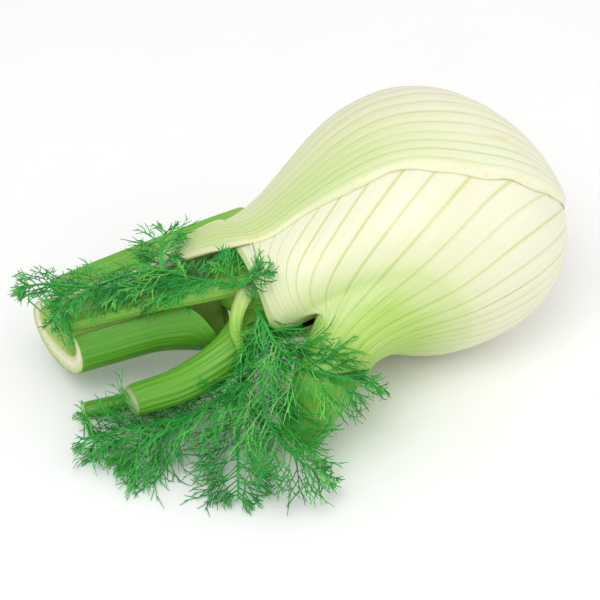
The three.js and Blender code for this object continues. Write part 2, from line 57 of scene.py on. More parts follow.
# %% Camera
CAMERA_AZIMUTH = -27.85 * DEG
CAMERA_ELEVATION = 39.7 * DEG
CAMERA_DISTANCE = 0.750
CAMERA_LENS = 146.4
SENSOR_WIDTH = 36
LOOK_AT = Vector((-0.0448, -0.0013, 0.025))
towards = Vector(
    (
        math.sin(CAMERA_AZIMUTH) * math.cos(CAMERA_ELEVATION),
        -math.cos(CAMERA_AZIMUTH) * math.cos(CAMERA_ELEVATION),
        math.sin(CAMERA_ELEVATION),
    )
)
bpy.ops.object.camera_add(
    location=LOOK_AT + towards * CAMERA_DISTANCE,
    rotation=(math.pi / 2 - CAMERA_ELEVATION, 0, CAMERA_AZIMUTH),
)
camera = bpy.context.active_object
camera.data.lens = CAMERA_LENS
camera.data.sensor_width = SENSOR_WIDTH
bpy.context.scene.camera = camera
print("camera at", tuple(round(v, 3) for v in camera.location))

# %% [markdown]
# ## Light
# The bulb is nearly white, so it shows its form only through soft shading. A hard sun would burn
# out the veins. So one broad lamp stands high on the left, a weaker one low on the right, and the
# pale surroundings fill the shadows.

# %% Lights and surroundings
LAMP_AIM = Vector((-0.02, 0, 0.03))
SURROUNDINGS_STRENGTH = 0.80


def soft_lamp(name, place, power, size):
    bpy.ops.object.light_add(type="AREA", location=place)
    lamp = bpy.context.active_object
    lamp.name = name
    lamp.data.energy = power
    lamp.data.size = size
    lamp.rotation_euler = (LAMP_AIM - Vector(place)).to_track_quat("-Z", "Y").to_euler()


soft_lamp("key_lamp", (-0.35, -0.30, 0.70), power=2.7, size=0.45)
soft_lamp("side_lamp", (0.60, -0.45, 0.40), power=1.1, size=0.6)
surroundings = bpy.data.worlds.new("pale_surroundings")
surroundings.use_nodes = True
backdrop = surroundings.node_tree.nodes["Background"]
backdrop.inputs["Color"].default_value = (1, 1, 1, 1)
backdrop.inputs["Strength"].default_value = SURROUNDINGS_STRENGTH
bpy.context.scene.world = surroundings
bpy.context.scene.view_settings.view_transform = "Standard"

# %% [markdown]
# ## Formulas of the bulb
# A leaf base is a curved skin, and no primitive has its shape. Pulling a ball into shape by hand
# would leave gaps between the leaves. So the skins are laid by formula on the same body as the
# solids. A polar angle runs from the root end to the neck, and a turn runs round the bulb from the
# top towards the near side. Millimetres are kept here, as on the solids.

# %% Small helpers for numbers
def lerp(a, b, t):
    return a + (b - a) * t


def clamp01(t):
    return np.clip(t, 0, 1)


def smooth(t):
    t = clamp01(t)
    return t * t * (3 - 2 * t)


def hump(distance, width):
    return np.exp(-((distance / width) ** 2))


print("a smooth step a quarter of the way:", round(float(smooth(0.25)), 3))

# %% The body of the bulb
ROOT_LENGTH = 40
NECK_LENGTH = 62
HALF_WIDTH = 43
HALF_HEIGHT = 40
AXIS_HEIGHT = 38.5
NECK_HALF_WIDTH = 22
NECK_HALF_HEIGHT = 17
NECK_TAPER = 1.15
ROOT_SHIFT_Y = -8
ROOT_DROP = 3
RIM_ANGLE = 150 * DEG
BACK_END_X, BACK_END_Y, BACK_END_Z = -113, 24, 18.8
BACK_END_WIDTH, BACK_END_HEIGHT = 12.5, 9.5
BACK_COURSE = 0.9
STALK_NARROWS = 1.6


def section_at(x):
    """Middle and half sizes of the bulb's cross-section at x; past the neck, of the back stalk."""
    x = np.asarray(x, float)
    s = clamp01(x / ROOT_LENGTH)
    k = np.sqrt(1 - s * s)
    t = clamp01(-x / NECK_LENGTH)
    swell = 0.5 * (1 + np.cos(np.pi * t**NECK_TAPER))
    u = clamp01((-x - NECK_LENGTH) / (-BACK_END_X - NECK_LENGTH))
    bend = u**BACK_COURSE
    y = np.where(x >= 0, ROOT_SHIFT_Y * s * s, BACK_END_Y * bend)
    z = np.where(x >= 0, AXIS_HEIGHT - ROOT_DROP * s * s, lerp(AXIS_HEIGHT - t * t, BACK_END_Z, bend))
    narrowed = smooth(u * STALK_NARROWS)
    neck_width = lerp(lerp(NECK_HALF_WIDTH, HALF_WIDTH, swell), BACK_END_WIDTH, narrowed)
    neck_height = lerp(lerp(NECK_HALF_HEIGHT, HALF_HEIGHT, swell), BACK_END_HEIGHT, narrowed)
    width = np.where(x >= 0, HALF_WIDTH * k, neck_width)
    height = np.where(x >= 0, HALF_HEIGHT * k, neck_height)
    return y, z, width, height


def station_of(polar):
    """How far along the bulb a polar angle lies."""
    past = polar - np.pi / 2
    full = RIM_ANGLE - np.pi / 2
    towards_neck = -(ROOT_LENGTH * past + (NECK_LENGTH - ROOT_LENGTH * full) * (past / full) ** 2)
    return np.where(polar < np.pi / 2, ROOT_LENGTH * np.cos(polar), towards_neck)


def on_section(x, turn, rise):
    """A point of the cross-section at x, raised off it by rise."""
    y, z, width, height = section_at(x)
    y = y - (width + rise) * np.sin(turn)
    z = z + (height + rise) * np.cos(turn)
    return np.stack(np.broadcast_arrays(x, y, z), axis=-1)


def on_body(polar, turn, rise):
    """A point of the bulb's surface, raised off it by rise."""
    p = on_section(station_of(polar), turn, rise * np.sin(polar))
    p[..., 0] += np.where(polar < np.pi / 2, rise * np.cos(polar), 0)
    return p


print("widest section:", [round(float(v), 1) for v in section_at(0)])

# %% [markdown]
# ## One way to make every skin
# A flat grid can be rolled like paper: its left half becomes the outer skin, its right half the
# inner one, and the last rows fold over the cut end. Where the edges of the grid meet, merging by
# distance sews them up, so the result is one closed leaf. Facts that the finish will need, such as
# where the veins run, are kept as attributes on the points.

# %% Selecting
def deselect_all():
    if bpy.context.mode != "OBJECT":
        bpy.ops.object.mode_set(mode="OBJECT")
    bpy.ops.object.select_all(action="DESELECT")


def select_only(piece):
    deselect_all()
    piece.select_set(True)
    bpy.context.view_layer.objects.active = piece


def edit_faces(piece, chosen):
    """Leaves the piece in edit mode with only the chosen faces selected."""
    select_only(piece)
    bpy.ops.object.mode_set(mode="EDIT")
    bpy.ops.mesh.select_mode(type="FACE")
    bpy.ops.mesh.select_all(action="DESELECT")
    bpy.ops.object.mode_set(mode="OBJECT")
    piece.data.polygons.foreach_set("select", chosen)
    bpy.ops.object.mode_set(mode="EDIT")


deselect_all()
print("pieces selected now:", len(bpy.context.selected_objects))

# %% Facts for the finish, kept on the points
FAR_FROM_EDGE = 40
PLAIN_FACTS = {"along": 0.0, "green": 0.0, "cut": 0.0, "edge": FAR_FROM_EDGE, "peach": 0.0, "inside": 0.0}


def leaf_facts(vein, **known):
    """All that the leaf finish reads, with a number for each point; what isn't given is plain."""
    return {"vein": vein, **{key: fact + 0 * vein for key, fact in {**PLAIN_FACTS, **known}.items()}}


def set_facts(mesh, facts):
    for key, values in facts.items():
        spot = mesh.attributes.new(key, "FLOAT", "POINT")
        spot.data.foreach_set("value", np.ascontiguousarray(values, dtype=np.float32))


print("facts:", ["vein", *PLAIN_FACTS])

# %% Rolling a grid
def rolled_grid(name, columns, rows, place):
    """A flat grid whose corners are moved to where place puts each column and row."""
    deselect_all()
    bpy.ops.mesh.primitive_grid_add(x_subdivisions=columns, y_subdivisions=rows, size=1)
    piece = bpy.context.active_object
    piece.name = name
    piece.data.name = name
    flat = np.empty(len(piece.data.vertices) * 3)
    piece.data.vertices.foreach_get("co", flat)
    flat = flat.reshape(-1, 3)
    column = np.rint((flat[:, 0] + 0.5) * columns).astype(int)
    row = np.rint((flat[:, 1] + 0.5) * rows).astype(int)
    points, facts = place(column, row)
    piece.data.vertices.foreach_set("co", (points * MM).ravel())
    set_facts(piece.data, facts)
    piece.data.update()
    print(name, "is rolled from a grid of", columns, "by", rows)
    return piece


# %% Sewing up the edges
MERGE_DISTANCE = 0.004 * MM


def signed_volume(piece):
    """Negative where a closed skin is inside out; read from the mesh as it stands in edit mode."""
    return bmesh.from_edit_mesh(piece.data).calc_volume(signed=True)


def count_open_edges(piece):
    used = np.zeros(len(piece.data.edges), int)
    loops = np.empty(len(piece.data.loops), int)
    piece.data.loops.foreach_get("edge_index", loops)
    np.add.at(used, loops, 1)
    return int((used == 1).sum())


def sew_up(piece):
    """Merges the edges that lie on each other and turns every face outwards."""
    select_only(piece)
    bpy.ops.object.mode_set(mode="EDIT")
    bpy.ops.mesh.select_all(action="SELECT")
    bpy.ops.mesh.remove_doubles(threshold=MERGE_DISTANCE)
    bpy.ops.mesh.select_all(action="SELECT")
    bpy.ops.mesh.normals_make_consistent(inside=False)
    if signed_volume(piece) < 0:
        bpy.ops.mesh.flip_normals()
    bpy.ops.object.mode_set(mode="OBJECT")
    bpy.ops.object.shade_smooth()
    print(piece.name, "faces", len(piece.data.polygons), "open edges", count_open_edges(piece))


# %% Two skins and the plan of the rows
def two_skins(column, half):
    """Outer skin for columns 0 to half, then the inner one back, then the first column again."""
    inner = (column > half) & (column <= 2 * half + 1)
    step = np.where(inner, 2 * half + 1 - column, np.where(column > half, 0, column))
    return inner, 2 * step / half - 1


def row_plan(start_caps, sheath, stalk, end_caps):
    """For each row: how far along the base, how far along the stalk, and how far folded in."""
    base = [0.0] * len(start_caps) + list(np.linspace(0, 1, sheath + 1))
    along = [0.0] * len(base) + list(np.linspace(0, 1, stalk + 1)[1:]) + [1.0] * len(end_caps)
    base = base + [1.0] * (stalk + len(end_caps))
    fold = list(start_caps) + [0.0] * (sheath + 1 + stalk) + list(end_caps)
    return np.array(base), np.array(along), np.array(fold)


FOLD_IN = (0.03, 0.1, 0.22, 0.4, 0.6, 0.8, 1.0)
FOLD_OUT = FOLD_IN[::-1]


def rolled_skin(name, half, plan, place):
    return rolled_grid(name, 2 * half + 2, len(plan[0]) - 1, place)


print("a cut end is folded in over", len(FOLD_IN), "rows")

# %% [markdown]
# ## Front leaf
# The white panel that faces us is the base of one leaf. Its veins leave the foot of the stalk like
# the ribs of a scallop and close again at the root. Veins painted on a plain skin would stay flat.
# Circles through two points of a ball run just as they do, so the skin is laid along such circles
# and every vein is simply one of its columns.

# %% Where the veins of the front leaf run
FOOT_POLAR = 134 * DEG
FOOT_TURN = 108 * DEG
FAN_EDGE = 150 * DEG
WING_EDGE = 171 * DEG
FAN_LIMIT = 153.5 * DEG
FAN_SOFT = 11 * DEG
FRONT_VEINS = (
    -162, -156, -150.5, -146, -142.5, -138, -133.5, -127.5, -120, -110.5, -98.5, -86, -72.5,
    -58, -43, -29, -20, -11, -2, 8, 20, 33, 47, 62, 77, 92, 107, 121, 134, 146, 156, 164,
)


def direction_of(polar, turn):
    return np.array([np.cos(polar), -np.sin(polar) * np.sin(turn), np.sin(polar) * np.cos(turn)])


def unit(v):
    return v / np.linalg.norm(v, axis=-1, keepdims=True)


foot_direction = direction_of(FOOT_POLAR, FOOT_TURN)
root_direction = np.array([1.0, 0, 0])
fan_middle = unit(foot_direction + root_direction)
fan_axis = unit(root_direction - foot_direction)
fan_side = unit(np.cross(fan_axis, fan_middle))
half_fan = math.acos(foot_direction @ root_direction) / 2
fan_shift = (1 - math.sin(half_fan)) / math.cos(half_fan)


def fan_place(from_foot, fan):
    """Polar angle and turn of a point on the circle named fan, at an angle from the foot."""
    ball = -np.cos(from_foot)[:, None] * fan_axis
    ball = ball + (np.sin(from_foot) * np.cos(fan))[:, None] * fan_middle
    ball = ball + (np.sin(from_foot) * np.sin(fan))[:, None] * fan_side
    shift = fan_middle * fan_shift
    total = ball + shift
    d = total * ((1 - fan_shift**2) / (total * total).sum(-1))[:, None] + shift
    polar = np.arccos(np.clip(d[:, 0], -1, 1))
    soft_from = FAN_LIMIT - FAN_SOFT
    softened = FAN_LIMIT - FAN_SOFT * np.exp((soft_from - polar) / FAN_SOFT)
    return np.where(polar > soft_from, softened, polar), np.arctan2(-d[:, 1], d[:, 2])


def vein_count(angle_deg, veins):
    """A number that is whole on a vein and halfway between two veins is a half."""
    return np.interp(angle_deg, veins, np.arange(len(veins)))


def vein_relief(count):
    """1 on a vein, falling off quickly, and a low swell between the veins."""
    off = np.abs(count - np.rint(count))
    return hump(off, 0.13), 0.5 - 0.5 * np.cos(2 * np.pi * off)


print("veins on the front leaf:", len(FRONT_VEINS))

# %% The line where the back leaf's edge crosses the bulb
OVERLAP = 15 * DEG


def margin_turn(polar):
    straight = 68 * DEG - 0.43 * polar
    belly = 4.5 * DEG * hump(polar - 84 * DEG, 24 * DEG)
    return straight + belly + 5 * DEG * smooth((polar / DEG - 136) / 12)


print("the edge starts at a turn of", round(margin_turn(15 * DEG) / DEG, 1), "degrees")

# %% A smooth curve
class SmoothCurve:
    """A curve through given points, with centripetal spacing as in the solids."""

    def __init__(self, points):
        self.points = np.array(points, float)

    def at(self, t):
        p = self.points
        n = len(p) - 1
        t = clamp01(np.asarray(t, float)) * n
        i = np.minimum(t.astype(int), n - 1)
        f = t - i
        p1, p2 = p[i], p[i + 1]
        p0 = np.where((i > 0)[..., None], p[np.maximum(i - 1, 0)], 2 * p[0] - p[1])
        p3 = np.where((i < n - 1)[..., None], p[np.minimum(i + 2, n)], 2 * p[n] - p[n - 1])
        d0 = np.maximum(np.linalg.norm(p1 - p0, axis=-1) ** 0.5, 1e-4)[..., None]
        d1 = np.maximum(np.linalg.norm(p2 - p1, axis=-1) ** 0.5, 1e-4)[..., None]
        d2 = np.maximum(np.linalg.norm(p3 - p2, axis=-1) ** 0.5, 1e-4)[..., None]
        m1 = ((p1 - p0) / d0 - (p2 - p0) / (d0 + d1) + (p2 - p1) / d1) * d1
        m2 = ((p2 - p1) / d1 - (p3 - p1) / (d1 + d2) + (p3 - p2) / d2) * d1
        f = f[..., None]
        return (
            p1
            + f * m1
            + f**2 * (-3 * p1 + 3 * p2 - 2 * m1 - m2)
            + f**3 * (2 * p1 - 2 * p2 + m1 + m2)
        )

    def along(self, t):
        step = 1e-4
        t = np.asarray(t, float)
        return unit(self.at(np.minimum(t + step, 1)) - self.at(np.maximum(t - step, 0)))


print("middle of a test curve:", SmoothCurve([(0, 0, 0), (1, 1, 0), (2, 0, 0)]).at([0.5])[0])

# %% The front stalk
FRONT_STALK = SmoothCurve([
    (-31, -18.5, 39), (-39.3, -24.8, 33), (-48.1, -30, 27), (-56.8, -35.5, 20.5),
    (-62.5, -38.5, 14.5), (-67.5, -41.7, 9.5),
])
FRONT_STALK_WIDTH = (13.5, 7.8)
FRONT_STALK_DEPTH = (15, 6.8)
FRONT_STALK_DENT = 0.28
DENT_WIDTH = 34 * DEG
CHANNEL_AIM = np.array([-0.45, 0.75, 0.35])


def on_front_stalk(t, turned, rise):
    along = FRONT_STALK.along(t)
    channel = unit(CHANNEL_AIM - (along @ CHANNEL_AIM)[:, None] * along)
    across = unit(np.cross(along, channel))
    dent = FRONT_STALK_DENT * hump(np.pi - np.abs(turned), DENT_WIDTH)
    sideways = (lerp(*FRONT_STALK_WIDTH, t) + rise) * np.sin(turned)
    outwards = -(lerp(*FRONT_STALK_DEPTH, t) * (1 - dent) + rise) * np.cos(turned)
    return FRONT_STALK.at(t) + across * sideways[:, None] + channel * outwards[:, None]


def flare(start, lead, end, onward, v):
    """A smooth course from the leaf base into the stalk."""
    reach = 0.9 * np.linalg.norm(end - start, axis=-1, keepdims=True)
    v = v[:, None]
    h0, h1 = 2 * v**3 - 3 * v**2 + 1, v**3 - 2 * v**2 + v
    h2, h3 = -2 * v**3 + 3 * v**2, v**3 - v**2
    return h0 * start + h1 * reach * lead + h2 * end + h3 * reach * onward


print("the front stalk ends at", FRONT_STALK.at([1.0])[0])

# %% Cutting away what lies beyond a leaf's edge
def cut_away(piece, fact):
    """Deletes the faces that have every corner beyond the leaf's edge."""
    mesh = piece.data
    gone = np.empty(len(mesh.vertices), np.float32)
    mesh.attributes[fact].data.foreach_get("value", gone)
    corners = np.empty(len(mesh.loops), int)
    mesh.loops.foreach_get("vertex_index", corners)
    whole = gone[corners].reshape(-1, 4).min(axis=1) > 0.5
    edit_faces(piece, whole)
    bpy.ops.mesh.delete(type="FACE")
    bpy.ops.mesh.select_mode(type="VERT")
    bpy.ops.object.mode_set(mode="OBJECT")
    print(piece.name, "faces cut away:", int(whole.sum()))


# %% Where the front leaf is green
FRONT_FAN_START = 163 * DEG
FRONT_FAN_RIM = 40
FRONT_WING_RIM = 19


def front_green(from_foot, u, wing):
    """Green at the foot of the stalk, paler on the wing, and greener along the stalk."""
    fade = np.maximum(from_foot / DEG - FRONT_WING_RIM, 0)
    near = 0.44 * hump(fade, 20) + 0.12 * hump(fade, 45)
    green = near * lerp(1.0, 0.45, wing)
    green = lerp(green, lerp(0.42, 0.25, wing), smooth(u / 0.3))
    return clamp01(lerp(green, 0.88, smooth((u - 0.35) / 0.6)))


print("green at the foot:", round(float(front_green(FRONT_FAN_RIM * DEG, 0.0, 0.0)), 2))

# %% Front leaf skin
FRONT_HALF = 250
FRONT_BASE_ROWS = 96
FRONT_STALK_ROWS = 80
FLARE_ROWS = 44
FLARE_ENDS_AT = 0.42
WING_JOINS_AT = 0.3
FRONT_LOW_EDGE = 228 * DEG
MARGIN_THICKNESS, BASE_THICKNESS = 0.9, 4.6
BEYOND_RISE = -0.4
FRONT_PLAN = row_plan((1.0,) + FOLD_OUT[2:], FRONT_BASE_ROWS, FRONT_STALK_ROWS, FOLD_IN)


def lay_front_leaf(column, row):
    inner, w = two_skins(column, FRONT_HALF)
    s, u, fold = (values[row] for values in FRONT_PLAN)
    edge_angle = np.where(w < 0, WING_EDGE, FAN_EDGE)
    fan = edge_angle * w
    wing = smooth((np.abs(fan) / DEG - 80) / 60)
    from_foot = lerp(FRONT_FAN_START, lerp(FRONT_FAN_RIM, FRONT_WING_RIM, wing) * DEG, s)
    count = vein_count(fan / DEG, FRONT_VEINS)
    line, swell = vein_relief(count)
    calm = smooth((1 - np.abs(w)) / 0.06) * smooth(s / 0.12)
    relief = calm * (0.26 * line + 0.3 * swell) - 0.25

    # The base, which ends under the back leaf's edge and thins out there.
    polar, turn = fan_place(from_foot, fan)
    above = np.where(turn < -np.pi / 2, turn + 2 * np.pi, turn)
    upper = margin_turn(polar) - OVERLAP
    beyond = ((above < upper) | (above > FRONT_LOW_EDGE)) & (s < 0.999)
    above = np.where(beyond, np.where(above > FRONT_LOW_EDGE, FRONT_LOW_EDGE, upper), above)
    thin = smooth((above - upper) / (25 * DEG)) * smooth((1 - np.abs(w)) / 0.3)
    thickness = lerp(MARGIN_THICKNESS, BASE_THICKNESS, thin)
    skin_base = on_body(polar, above, np.where(beyond, BEYOND_RISE, relief))
    lining_base = on_body(polar, above, np.where(beyond, BEYOND_RISE, -thickness))

    # The stalk, and the flare that leads from the base into it.
    v = clamp01(u * FRONT_STALK_ROWS / FLARE_ROWS)
    on_stalk = clamp01((u * FRONT_STALK_ROWS - FLARE_ROWS) / (FRONT_STALK_ROWS - FLARE_ROWS))
    t = lerp(lerp(FLARE_ENDS_AT, WING_JOINS_AT, wing), 1, on_stalk)
    side = np.where(w < 0, -1.0, 1.0) * lerp(np.pi, edge_angle, np.abs(w))
    skin_stalk = on_front_stalk(t, fan, relief)
    lining_stalk = on_front_stalk(t, side, np.zeros_like(t))
    ahead = on_body(*fan_place(from_foot - 0.01, fan), 0.0)
    lead = unit(ahead - on_body(*fan_place(from_foot, fan), 0.0))
    onward = FRONT_STALK.along(t)
    flaring = (v > 0)[:, None] & (on_stalk <= 0)[:, None]
    skin = np.where(flaring, flare(skin_base, lead, skin_stalk, onward, v), skin_base)
    lining = np.where(flaring, flare(lining_base, lead, lining_stalk, onward, v), lining_base)
    beyond_flare = (on_stalk > 0)[:, None]
    skin = np.where(beyond_flare, skin_stalk, skin)
    lining = np.where(beyond_flare, lining_stalk, lining)

    points = np.where(inner[:, None], lining, skin)
    points = lerp(points, 0.5 * (skin + lining), fold[:, None])
    points[:, 2] = np.maximum(points[:, 2], 0.0)
    edge = np.clip((above - upper) / DEG * 0.6, 0, FAR_FROM_EDGE)
    return points, leaf_facts(
        count,
        along=s + u,
        green=front_green(from_foot, u, wing),
        cut=np.where(u >= 1, fold, 0),
        edge=np.where(u > 0, FAR_FROM_EDGE, edge),
        peach=hump(polar / DEG - 12, 26) * (u <= 0),
        inside=inner,
        beyond=beyond,
    )


front_leaf = rolled_skin("front_leaf_skin", FRONT_HALF, FRONT_PLAN, lay_front_leaf)
cut_away(front_leaf, "beyond")
sew_up(front_leaf)

# %% [markdown]
# ## Back leaf
# This leaf lies over the front one along the top, and its thin edge draws the long line across the
# bulb. Its veins run beside that edge, from the neck to the root. Past the neck it narrows into a
# thick stalk with a channel that opens upwards. A separate stalk would show a seam at the neck, so
# one rolled grid makes base and stalk together.

# %% Where the back leaf's edges run
BACK_LOW_EDGE = -145 * DEG
STALK_TOP_EDGE = -34 * DEG
STALK_LOW_EDGE = -314 * DEG
CHANNEL_FLOOR_EDGE = -205 * DEG
CHANNEL_STARTS_AT = 0.14
CHANNEL_CLIMB = 0.3
BACK_VEINS = (
    0, 0.035, 0.062, 0.088, 0.115, 0.15, 0.19, 0.235, 0.285, 0.335, 0.39, 0.445, 0.5,
    0.555, 0.61, 0.665, 0.72, 0.775, 0.83, 0.885, 0.94, 1,
)


def back_edges(polar, u):
    """Turn of the upper edge, and of the lower one, which becomes the channel's other lip."""
    top = lerp(margin_turn(polar), STALK_TOP_EDGE, smooth(u * 1.3))
    low = lerp(BACK_LOW_EDGE, CHANNEL_FLOOR_EDGE, smooth(u / CHANNEL_STARTS_AT))
    return top, lerp(low, STALK_LOW_EDGE, smooth((u - CHANNEL_STARTS_AT) / CHANNEL_CLIMB))


def back_green(s, u, w, inner):
    """Pale at the base, green on the stalk's flank and darker there as painted shade, and paler along the
    lip and the channel.
    """
    green = 0.20 * smooth((s - 0.45) / 0.5) + 0.10 * smooth((s - 0.25) / 0.5) * hump(w - 0.1, 0.12)
    flank_green_and_painted_shade = smooth((w - 0.10) / 0.2)
    turns_green = smooth((u - 0.02) / lerp(0.45, 0.12, smooth((w - 0.5) / 0.3)))
    # The flank is the stalk's own green, pushed to the darkest green as painted shade from the young
    # stalk lying over it.
    green = green + (0.22 + 0.80 * flank_green_and_painted_shade - green) * turns_green
    channel = lerp(0.2 + 0.2 * u, 0.6, smooth((w - 0.55) / 0.3) * (u > 0))
    return clamp01(np.where(inner, channel, green))


print("veins on the back leaf:", len(BACK_VEINS))

# %% Back leaf skin
BACK_HALF = 230
BACK_BASE_ROWS = 104
BACK_STALK_ROWS = 56
BACK_LIFT = 1.5
BACK_ROOT_ANGLE = 15 * DEG
SPREAD_TO_EDGES = -0.25
CUT_SLANT = 0.15
CUT_SLANT_FROM = 10
BACK_PLAN = row_plan((1.0,) + FOLD_OUT[2:], BACK_BASE_ROWS, BACK_STALK_ROWS, FOLD_IN)


def lay_back_leaf(column, row):
    inner, w = two_skins(column, BACK_HALF)
    w = 0.5 * (w + 1)
    w = lerp(w, w * w * (3 - 2 * w), SPREAD_TO_EDGES)
    s, u, fold = (values[row] for values in BACK_PLAN)
    polar = lerp(BACK_ROOT_ANGLE, RIM_ANGLE, s)
    x = np.where(u > 0, lerp(-NECK_LENGTH, BACK_END_X, u), station_of(polar))
    top, low = back_edges(polar, u)
    wave = 0.9 * np.sin(23 * s + 1) + 0.6 * np.sin(41 * s)
    turn = lerp(top, low, w) + wave * DEG * hump(w, 0.03) * smooth(s / 0.1) * (u <= 0)
    from_edge = np.minimum(top - turn, turn - low)
    count = vein_count(w, BACK_VEINS)
    line, swell = vein_relief(count)
    calm = smooth(from_edge / (4 * DEG)) * smooth(s / 0.1)
    at_edge = hump(from_edge, 3.5 * DEG) * (u <= 0)
    relief = calm * (0.22 * line + 0.3 * swell) - 0.2 - 1.0 * at_edge
    overlapped = smooth((from_edge / OVERLAP - 1.2) / 0.9)
    sheath_under = lerp(0.75 - 0.75 * at_edge, -BASE_THICKNESS, overlapped)
    stalk_under = BACK_LIFT - lerp(2.2, 8.5, np.sin(np.pi * clamp01(w)) ** 1.5)
    under = lerp(sheath_under, stalk_under, smooth(u * 2))

    def at_rise(rise):
        return np.where((u > 0)[:, None], on_section(x, turn, rise), on_body(polar, turn, rise))

    skin, lining = at_rise(BACK_LIFT + relief), at_rise(under)
    points = np.where(inner[:, None], lining, skin)
    points = lerp(points, 0.5 * (skin + lining), fold[:, None])
    points[:, 0] -= CUT_SLANT * (points[:, 1] - CUT_SLANT_FROM) * smooth((u - 0.7) / 0.3)
    points[:, 2] = np.maximum(points[:, 2], 0.0)
    shoulder = hump(w, 0.07) * smooth((s - 0.86) / 0.12) * (1 - smooth(u / 0.2))
    return points, leaf_facts(
        count,
        along=s + u,
        green=back_green(s, u, w, inner),
        cut=np.where(u >= 1, fold, 0),
        edge=np.clip(from_edge / DEG * 0.7, 0, FAR_FROM_EDGE),
        peach=hump(polar / DEG - 12, 20) + shoulder,
        inside=inner,
    )


back_leaf = rolled_skin("back_leaf_skin", BACK_HALF, BACK_PLAN, lay_back_leaf)
sew_up(back_leaf)

# %% [markdown]
# ## Rear leaf
# On the far side one more outer leaf wraps the bulb. Only its round stalk shows from the front. Its
# base is a narrower skin over the back leaf, and the stalk is a tube with fine ribs. A cylinder
# could be bent along its course, but ribs and oblique cuts would have to be added by hand. So a
# tube is a rolled grid too: its columns go once round, and its last rows fold into the cut end.

# %% Tubes for round stalks
TUBE_START = (0.6, 1.0)
RIB_HEIGHT = 0.035
CUT_HOLLOW = 0.10


def tube_folds(steps):
    return np.array(list(TUBE_START[::-1]) + [0.0] * (steps + 1) + list(FOLD_IN))


def stalk_tube(name, curve, radius, ribs, green, sides=96, steps=90, seed=0, taper=0.0, cut_aim=None):
    """A ribbed tube along a curve; taper makes its start slimmer and cut_aim tilts its cut."""
    starts = len(TUBE_START)

    def lay(column, row):
        turned = 2 * np.pi * column / sides
        t = clamp01((row - starts) / steps)
        fold = tube_folds(steps)[row]
        along = curve.along(t)
        side = unit(np.cross(np.array([0, 0, 1.0]), along))
        over = np.cross(along, side)
        count = ribs * column / sides
        off = np.abs(count - np.rint(count))
        bump = RIB_HEIGHT * (2 * hump(off, 0.26) - 1)
        wobble = 0.025 * np.sin(2 * turned + 5 * t + seed)
        wobble = wobble + 0.012 * np.sin(3 * turned - 9 * t + 2 * seed)
        r = lerp(radius[0], radius[1], t) * (1 + bump + wobble) * (1 - fold)
        r = r * (1 - 0.05 * smooth((t - 0.97) / 0.03)) * (1 - taper * (1 - smooth(t / 0.2)))
        points = curve.at(t) + side * (r * np.cos(turned))[:, None] + over * (r * np.sin(turned))[:, None]
        in_cut = row > starts + steps
        hollow = np.where(in_cut, CUT_HOLLOW * radius[1] * np.sin(np.pi * clamp01(fold)), 0)
        points = points - along * hollow[:, None]
        if cut_aim is not None:
            slope = unit(along + np.array(cut_aim))
            lean = ((points - curve.at(t)) * slope).sum(-1) / (along * slope).sum(-1)
            points = points - along * (lean * smooth((t - 0.8) / 0.2))[:, None]
        points[:, 2] = np.maximum(points[:, 2], 0.0)
        shade = lerp(green[0], green[1], smooth(t / 0.7))
        return points, leaf_facts(count, along=1 + t, green=shade, cut=np.where(in_cut, fold, 0.0))

    piece = rolled_grid(name, sides, len(tube_folds(steps)) - 1, lay)
    sew_up(piece)
    return piece


print("a tube's end takes", len(FOLD_IN), "rows and its start", len(TUBE_START))

# %% Rear leaf skin
REAR_HALF = 90
REAR_PLAN = row_plan((1.0,) + FOLD_OUT[3:], 90, 0, FOLD_IN[:4] + (1.0,))
REAR_LINING_RISE = 2.7


def lay_rear_leaf(column, row):
    inner, w = two_skins(column, REAR_HALF)
    s, _, fold = (values[row] for values in REAR_PLAN)
    polar = lerp(19 * DEG, 146 * DEG, s)
    half = 40 * DEG * (1 - 0.62 * smooth((s - 0.3) / 0.7))
    turn = lerp(-88 * DEG, -106 * DEG, smooth((s - 0.4) / 0.6)) - half * w
    crown = 1 - w * w
    count = 9 * (w + 1)
    line, swell = vein_relief(count)
    skin_rise = lerp(3.5, 4 + 0.8 * s, crown) + crown * (0.3 * line + 0.4 * swell - 0.2)
    points = on_body(polar, turn, np.where(inner, REAR_LINING_RISE, skin_rise))
    middle = on_body(polar, turn, 0.5 * (skin_rise + REAR_LINING_RISE))
    points = lerp(points, middle, fold[:, None])
    return points, leaf_facts(
        count,
        along=s,
        green=0.06 + 0.5 * smooth((s - 0.45) / 0.55),
        edge=(1 - np.abs(w)) * half / DEG * 0.7,
        peach=hump(polar / DEG - 12, 22),
        inside=inner,
    )


rear_leaf = rolled_skin("rear_leaf_skin", REAR_HALF, REAR_PLAN, lay_rear_leaf)
sew_up(rear_leaf)

# %% Rear stalk, joined to its base
REAR_STALK = SmoothCurve([
    (-38, 31.3, 32.5), (-46, 30.8, 31.8), (-55, 32, 30.6), (-67, 35, 27.5), (-82, 38.5, 23.5),
    (-96, 41.5, 20), (-107.5, 43.5, 17.5),
])
rear_stalk = stalk_tube(
    "rear_stalk", REAR_STALK, (6.8, 5.8), ribs=20, green=(0.55, 0.8), sides=120, seed=1, taper=0.72
)
select_only(rear_leaf)
rear_stalk.select_set(True)
bpy.ops.object.join()
print("rear leaf now has faces", len(rear_leaf.data.polygons))

# %% [markdown]
# ## Heart
# Between the outer leaves the younger ones are packed tight, and they all grow from the root disc.
# From outside only the neck's mouth and the disc show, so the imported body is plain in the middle
# and detailed at those two ends. Four stalks grow out of it: a middle one with an oblique cut, a
# low one that comes down to the floor, a round young one in the channel, and a pale thin one that
# bends down over the middle one.

